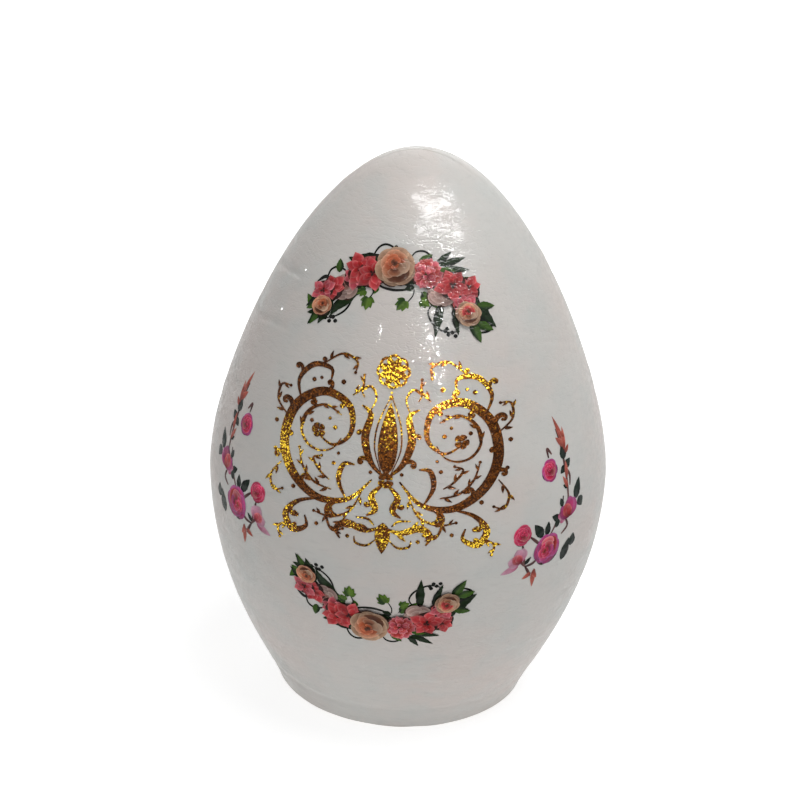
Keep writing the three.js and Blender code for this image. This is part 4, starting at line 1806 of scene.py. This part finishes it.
@dataclass
class GoldWork:
    """Generic gold scrollwork: a palmette, a rosette and a pendant between two mirrored scrolls."""

    form: EggForm
    relief: TissueRelief
    place: Place
    thin: float = 0.35
    fine: float = 1.3
    curl: float = 1.7
    stem: float = 1.9
    bold: float = 2.4
    hair: float = 0.4
    thickness: float = 0.00004
    step: float = 0.006
    lift: float = 0.00006
    lift_step: float = 0.00001
    curl_turns: tuple[float, ...] = (14, 26, 40, 58, 74, 88)

    def build(self, material: Material) -> None:
        """Draws the five ornaments and lays each on the egg.

        Args:
            material: The glittering foil.
        """
        left = Place(self.place.azimuth, self.place.height, mirror_u=True)
        lift = self.lift
        for name, node, place, draw in (
            ("right_scrollwork", "gold_right_scroll", self.place, self.draw_scroll),
            ("left_scrollwork", "gold_left_scroll", left, self.draw_scroll),
            ("palmette", "gold_palmette", self.place, self.draw_palmette),
            ("rosette", "gold_rosette", self.place, self.draw_rosette),
            ("pendant", "gold_pendant", self.place, self.draw_pendant),
        ):
            drawing = Drawing(self.form, self.relief, len(name), self.step)
            draw(drawing)
            piece = drawing.finish(name, place, self.thickness, lift)
            lift += self.lift_step
            dress(piece, material)
            seat(piece, node)

    def sprout(
        self,
        drawing: Drawing,
        points: Sequence[Point],
        shares: Sequence[float],
        size: float,
        side: int,
    ) -> None:
        """Draws curved leaves that grow forwards from a stem.

        Args:
            drawing: Where they are drawn.
            points: The stem.
            shares: Where the leaves start, as shares of the stem's length.
            size: Length of the first leaf. The later ones are smaller.
            side: 1 for its left, -1 for its right, 0 for both in turn.
        """
        roots, ways = spline(points, np.array(shares))
        for count, (root, way) in enumerate(zip(roots, ways)):
            hand = side or (1 if count % 2 else -1)
            length = size * (1 - 0.35 * shares[count])
            turn = math.degrees(math.atan2(way[1], way[0])) + 52 * hand
            drawing.blade(tuple(root), turn, length, 0.4 * length, Inks.FOIL, bend=-0.22 * hand, belly=0.62)

    def curls(
        self,
        drawing: Drawing,
        points: Sequence[Point],
        shares: Sequence[float],
        size: float,
        side: int,
    ) -> None:
        """Draws flourishes that leave a stroke along its own direction and roll up to a dot.

        Args:
            drawing: Where they are drawn.
            points: The stroke.
            shares: Where the flourishes start, as shares of the stroke's length.
            size: Length of the first flourish. The later ones are smaller.
            side: 1 for its left, -1 for its right.
        """
        roots, ways = spline(points, np.array(shares))
        for count, (root, way) in enumerate(zip(roots, ways)):
            length = size * (1 - 0.3 * shares[count]) * (1 - 0.22 * (count % 2))
            heading = math.atan2(way[1], way[0])
            place = Vector(root)
            trail = [tuple(place)]
            for turn in self.curl_turns:
                heading += math.radians(turn * side)
                way = Vector((math.cos(heading), math.sin(heading)))
                place = place + way * length * (0.3 - 0.0024 * turn)
                trail.append(tuple(place))
            drawing.pen(trail, self.thin, 0.21 * length, Inks.FOIL, 0.34)
            drawing.dot(trail[-1], 0.36, Inks.FOIL)

    def sprig(self, drawing: Drawing, points: Sequence[Point], leaves: int = 5, size: float = 2.1) -> None:
        """Draws a hair-thin twig with small leaves on both sides and a berry at its tip."""
        drawing.pen(points, 0.7 * self.hair, 1.5 * self.hair, Inks.FOIL)
        self.sprout(drawing, points, [(count + 0.7) / (leaves + 0.7) for count in range(leaves)], size, 0)
        drawing.dot(points[-1], 0.38, Inks.FOIL)

    def draw_scroll(self, drawing: Drawing) -> None:
        """Draws the scroll's loop and branches, then the twigs, leaves and dots that fill it."""
        foil = Inks.FOIL
        loop = [
            (3.2, -6.5), (8.5, -11.6), (16, -12), (22.4, -7), (25, 0.5), (22.6, 8.6),
            (16, 12.6), (9.6, 10), (8.8, 3.8), (12.8, 0.6), (17, 3),
        ]
        lower = [(15, -12.2), (20.4, -13.6), (23.6, -17), (21.8, -20.6), (18.4, -19.4), (18.8, -16.8)]
        upper = [(21.4, 10), (22.4, 14.6), (19, 18.4), (14.6, 18), (14.4, 15.4)]
        drawing.pen(loop, self.thin, self.bold, foil, 0.42)
        drawing.pen(lower, self.thin, self.curl, foil)
        drawing.pen(upper, self.thin, self.fine, foil)
        drawing.pen([(9, -11.6), (11, -7.4), (10, -3.6), (7.4, -3.4)], self.thin, self.fine, foil)
        self.curls(drawing, loop, (0.13, 0.34, 0.47, 0.6), 7.0, -1)
        self.curls(drawing, loop, (0.24, 0.4, 0.53, 0.66), 5.4, 1)
        self.curls(drawing, lower, (0.24, 0.5), 5.0, -1)
        self.curls(drawing, upper, (0.3, 0.58), 4.6, -1)
        for petal in range(5):
            drawing.fan((16.6, 3.6), 72 * petal, 34, 0.2, 1.75, foil)
        self.draw_filling(drawing)

    def draw_filling(self, drawing: Drawing) -> None:
        """Draws the fine twigs and dots inside and round a scroll."""
        drawing.pen(arc((15.6, 4.0), 4.9, 200, 500, 9, 1.15), 0.6 * self.hair, 1.6 * self.hair, Inks.FOIL)
        for points, leaves in (
            ([(12.6, -9.8), (16.8, -8.6), (19.9, -5.2), (21.0, -1.0)], 6),
            ([(13.2, -7.6), (15.6, -5.8), (17.4, -3.0), (15.4, -2.2)], 4),
            ([(20.8, 3.0), (19.4, 7.4), (15.6, 9.6), (12.2, 8.2)], 5),
            ([(5.4, -9.6), (8.0, -14.4), (12.6, -16.2), (16.6, -15.4)], 6),
            ([(24.4, 5.8), (27.4, 9.2), (26.8, 12.8), (24.4, 12.8)], 4),
            ([(25.4, -5.0), (28.0, -8.4), (27.2, -11.8), (24.8, -11.4)], 4),
            ([(16.6, 18.8), (12.2, 21.6), (8.6, 20.2), (8.8, 17.6)], 4),
            ([(9.0, 12.4), (6.8, 14.4), (6.6, 17.2)], 3),
            ([(22.6, -19.0), (25.4, -20.6), (25.0, -23.2)], 3),
            ([(12.0, -12.4), (13.4, -16.0), (12.0, -19.4), (9.4, -18.8)], 4),
        ):
            self.sprig(drawing, points, leaves)
        for spot, radius in (
            ((12.6, 4.6), 0.55), ((14.0, 6.6), 0.42), ((18.4, 5.6), 0.5), ((12.4, -3.6), 0.5),
            ((11.4, -1.2), 0.4), ((22.0, -10.4), 0.55), ((27.2, -2.2), 0.5), ((27.4, 4.4), 0.55),
            ((18.6, 15.0), 0.55), ((16.8, 15.6), 0.42), ((11.4, 15.2), 0.6), ((7.2, -17.4), 0.5),
            ((20.8, -17.0), 0.55), ((15.8, -18.4), 0.5),
        ):
            drawing.dot(spot, radius, Inks.FOIL)

    def draw_palmette(self, drawing: Drawing) -> None:
        """Draws the tall drop, its curled side leaves and the fine lines round them."""
        foil, hair = Inks.FOIL, self.hair
        for side in (1, -1):
            upper = [(0, -6), (3.6, -2.6), (5.4, 3), (4.4, 8.4), (6.6, 10.4)]
            lower = [(0, -7), (3, -10.2), (2, -13.4), (4, -15)]
            vine = [(1.2, -4.6), (3.0, 0.6), (2.8, 5.6), (1.6, 9.4), (0.2, 12.6)]
            shoot = [(4.6, 9.2), (3.4, 12.4), (4.8, 14.8), (6.8, 13.8), (6.2, 12.2)]
            for points, thin, thick in (
                (upper, self.thin, self.stem),
                (lower, self.thin, self.curl),
                (vine, 0.5 * hair, hair),
                (shoot, 0.6 * hair, 1.5 * hair),
            ):
                drawing.pen(mirrored(points, side), thin, thick, foil)
            self.curls(drawing, mirrored(upper, side), (0.24, 0.5), 5.0, -side)
            self.curls(drawing, mirrored(lower, side), (0.4,), 3.8, side)
            drawing.dot((side * 3.6, -4.8), 0.45, foil)
        drawing.blade((0, -5.4), 90, 17.0, 4.6, foil)
        for petal in range(6):
            drawing.fan((0, -6.4), 60 * petal + 30, 28, 0.3, 1.9, foil)
        for count in range(3):
            drawing.dot((0, 12.6 + 0.3 * count * count), 0.5 - 0.1 * count, foil)

    def draw_rosette(self, drawing: Drawing) -> None:
        """Draws a round flower of interlaced fine loops."""
        foil, centre = Inks.FOIL, (0.0, 18.6)
        for petal in range(8):
            turn = 45 * petal
            a = math.radians(turn)
            tip = (centre[0] + 2.2 * math.cos(a), centre[1] + 2.2 * math.sin(a))
            drawing.pen(arc(tip, 1.45, turn - 150, turn + 150, 7), 0.3, 0.62, foil)
            drawing.blade(centre, turn + 22.5, 3.5, 0.9, foil)
        for petal in range(6):
            drawing.fan(centre, 60 * petal, 30, 0.1, 1.1, foil)
        drawing.pen(arc(centre, 2.2, 0, 360, 13), 0.3, 0.3, foil)

    def draw_pendant(self, drawing: Drawing) -> None:
        """Draws the hanging drop between two small curls."""
        foil, hair = Inks.FOIL, self.hair
        drawing.blade((0, -16.4), 270, 7.6, 3.6, foil)
        for side in (1, -1):
            for points, thin, thick in (
                ([(0, -17.4), (4, -18.6), (8.4, -17.2), (11, -18.8), (10, -21.2)], self.thin, self.curl),
                ([(2.0, -17.2), (3.6, -15.8), (6.4, -15.6)], 0.6 * hair, 1.4 * hair),
                ([(1.4, -20.4), (3.6, -22.2), (6.2, -21.8), (6.6, -20.2)], 0.6 * hair, 1.5 * hair),
            ):
                drawing.pen(mirrored(points, side), thin, thick, foil)
            stem = mirrored([(0, -17.4), (4, -18.6), (8.4, -17.2), (11, -18.8)], side)
            self.sprout(drawing, stem, (0.3, 0.55, 0.8), 3.0, 0)
            drawing.dot((side * 8.2, -20.4), 0.5, foil)


# Stage


@dataclass(frozen=True)
class Lamp:
    """A rectangular light that faces the egg.

    Its way is the direction to it from the egg's middle, its power is in watts, its height is a share of
    its width, and its turn is in its own plane, in degrees. A glint shows only as a gleam in varnish and
    foil.
    """

    name: str
    way: Way
    distance: float
    size: float
    power: float
    glint: bool = False
    tall: float = 1.0
    turn: float = 0.0

    def hang(self, aim: Vector) -> None:
        """Hangs the light.

        Args:
            aim: The egg's middle.
        """
        data = bpy.data.lights.new(self.name, "AREA")
        data.shape = "RECTANGLE"
        data.size = self.size
        data.size_y = self.size * self.tall
        data.energy = self.power
        light = bpy.data.objects.new(self.name, data)
        bpy.context.collection.objects.link(light)
        light.visible_diffuse = not self.glint
        direction = Vector(self.way).normalized()
        light.location = aim + direction * self.distance
        turned = Matrix.Rotation(math.radians(self.turn), 3, "Z")
        light.rotation_euler = (direction.to_track_quat("Z", "Y").to_matrix() @ turned).to_euler()


@dataclass
class Studio:
    """The floor, the lights, the white surroundings and the camera."""

    floor_grey: Colour = (0.42, 0.42, 0.42)
    floor_roughness: float = 0.9
    floor_white: tuple[float, float] = (0.8, 1.0)
    floor_reach: tuple[float, float] = (0.08, 0.3)
    floor_glow: float = 0.58
    surround: float = 0.21
    aim: Way = (0.0, 0.0, 0.07075)
    distance: float = 0.5
    azimuth: float = 6.0
    elevation: float = 24.5
    roll: float = 2.33
    lens: float = 89.4
    picture_width: float = 800.0
    aim_right: float = 9.5
    aim_down: float = 20.8
    lamps: tuple[Lamp, ...] = (
        Lamp("overhead_softbox", (0.22, -0.12, 0.96), 0.62, 0.36, 2.6),
        Lamp("front_fill", (0.5, -0.84, 0.08), 0.9, 0.6, 0.85),
        Lamp("rear_fill", (-0.05, 0.92, 0.38), 1.1, 0.8, 2.6),
        Lamp("left_window", (-0.8, -0.47, 0.34), 0.8, 0.14, 0.2),
        Lamp("softbox_glint", (0.298, -0.193, 0.935), 0.61, 0.44, 14.5, glint=True, tall=0.58, turn=-30),
    )
    gap_power: float = 800.0
    gap_distance: float = 0.8
    gaps: tuple[tuple[Way, float], ...] = (
        ((0.28, -0.8, 0.51), 0.045),
        ((0.36, -0.78, 0.5), 0.035),
        ((0.2, -0.83, 0.5), 0.03),
        ((0.24, -0.78, 0.57), 0.03),
        ((0.4, -0.84, 0.4), 0.03),
        ((0.43, -0.8, 0.43), 0.035),
        ((0.34, -0.83, 0.43), 0.03),
        ((0.24, -0.88, 0.4), 0.02),
        ((0.3, -0.74, 0.6), 0.03),
        ((0.5, -0.4, 0.77), 0.04),
        ((0.6, -0.33, 0.72), 0.05),
        ((0.53, -0.36, 0.77), 0.03),
        ((-0.3, -0.79, 0.53), 0.025),
        ((-0.92, 0.28, 0.26), 0.014),
    )

    def build(self) -> None:
        """Sets up everything round the object."""
        self.build_floor()
        self.build_surround()
        aim = Vector(self.aim)
        for lamp in self.lamps:
            lamp.hang(aim)
        for count, (way, size) in enumerate(self.gaps):
            power = self.gap_power * size * size
            Lamp(f"window_gap_{count}", way, self.gap_distance, size, power, glint=True).hang(aim)
        self.build_camera()

    def build_floor(self) -> None:
        """Adds a wide floor that looks white and keeps the object's shadow."""
        deselect()
        bpy.ops.mesh.primitive_plane_add(size=6, location=(0, 0, 0))
        floor = bpy.context.object
        floor.name = "studio_floor"
        recipe = Recipe("pale_floor")
        recipe.feed("Base Color", self.floor_grey)
        recipe.feed("Roughness", self.floor_roughness)
        recipe.feed("Specular IOR Level", 0.0)
        glow = recipe.add("ShaderNodeEmission")
        recipe.fill(glow.inputs["Color"], WHITE)
        away = recipe.add("ShaderNodeVectorMath", operation="LENGTH")
        recipe.link(recipe.object_place, away.inputs[0])
        rise = recipe.window(away.outputs["Value"], *self.floor_reach, *self.floor_white)
        seen = self.seen(recipe.tree, self.floor_white[1], self.floor_glow)
        recipe.link(rise, seen.inputs[3])
        recipe.link(seen.outputs[0], glow.inputs["Strength"])
        both = recipe.add("ShaderNodeAddShader")
        recipe.link(recipe.shader.outputs[0], both.inputs[0])
        recipe.link(glow.outputs[0], both.inputs[1])
        recipe.link(both.outputs[0], recipe.tree.nodes["Material Output"].inputs["Surface"])
        floor.data.materials.append(recipe.material)

    def seen(self, tree: bpy.types.NodeTree, strength: float, plain: float) -> bpy.types.Node:
        """Mixes a strength for what the camera sees, in gloss and glass too, and one that lights."""
        path = tree.nodes.new("ShaderNodeLightPath")
        share = path.outputs["Is Camera Ray"]
        for ray in ("Is Glossy Ray", "Is Transmission Ray"):
            both = tree.nodes.new("ShaderNodeMath")
            both.operation = "MAXIMUM"
            tree.links.new(share, both.inputs[0])
            tree.links.new(path.outputs[ray], both.inputs[1])
            share = both.outputs[0]
        blend = tree.nodes.new("ShaderNodeMix")
        tree.links.new(share, blend.inputs[0])
        blend.inputs[2].default_value = plain
        blend.inputs[3].default_value = strength
        return blend

    def build_surround(self) -> None:
        """Makes the world white where it is seen, and softer where it lights."""
        world = bpy.data.worlds.new("studio")
        world.use_nodes = True
        tree = world.node_tree
        background = tree.nodes["Background"]
        background.inputs["Color"].default_value = (*WHITE, 1)
        tree.links.new(self.seen(tree, 1.0, self.surround).outputs[0], background.inputs["Strength"])
        bpy.context.scene.world = world

    def build_camera(self) -> None:
        """Puts the camera where the photograph was taken from."""
        data = bpy.data.cameras.new("camera")
        data.lens = self.lens
        data.shift_x = -self.aim_right / self.picture_width
        data.shift_y = self.aim_down / self.picture_width
        camera = bpy.data.objects.new("camera", data)
        bpy.context.collection.objects.link(camera)
        turn, climb = math.radians(self.azimuth), math.radians(self.elevation)
        level = math.cos(climb)
        back = Vector((math.sin(turn) * level, -math.cos(turn) * level, math.sin(climb)))
        camera.location = Vector(self.aim) + back * self.distance
        rolled = Matrix.Rotation(math.radians(self.roll), 3, "Z")
        camera.rotation_euler = (back.to_track_quat("Z", "Y").to_matrix() @ rolled).to_euler()
        bpy.context.scene.camera = camera


def main() -> None:
    """Builds the egg round its frame, piece by piece."""
    logging.basicConfig(level=logging.INFO, format="%(name)s: %(message)s")
    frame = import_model()
    scene = bpy.context.scene
    scene.view_settings.view_transform = "Standard"
    form = EggForm()
    relief = TissueRelief(form)
    Castings(form).build(ClayFinish().make())
    dress(frame["nodes"]["glue_bead"], GlueFinish().make())
    tissue = TissueFinish().make()
    TissueSheet(form, relief, Side.FRONT, "front_tissue").build(tissue)
    TissueSheet(form, relief, Side.BACK, "back_tissue").build(tissue)
    garland_print = PrintFinish("garland_print").make()
    Garland(form, relief, "upper_garland", "top_garland", Place(0, 115), 31).build(garland_print)
    lower = Place(0, 46, turn=-6, mirror_v=True)
    Garland(form, relief, "lower_garland", "bottom_garland", lower, 31).build(garland_print)
    spray_print = PrintFinish("spray_print").make()
    Spray(form, relief, "right_rosebuds", "right_spray", Place(50, 66), 41).build(spray_print)
    left = Place(-50, 71, mirror_u=True)
    Spray(form, relief, "left_rosebuds", "left_spray", left, 42).build(spray_print)
    GoldWork(form, relief, Place(0, 83)).build(FoilFinish().make())
    Studio().build()


if __name__ == "__main__":
    main()
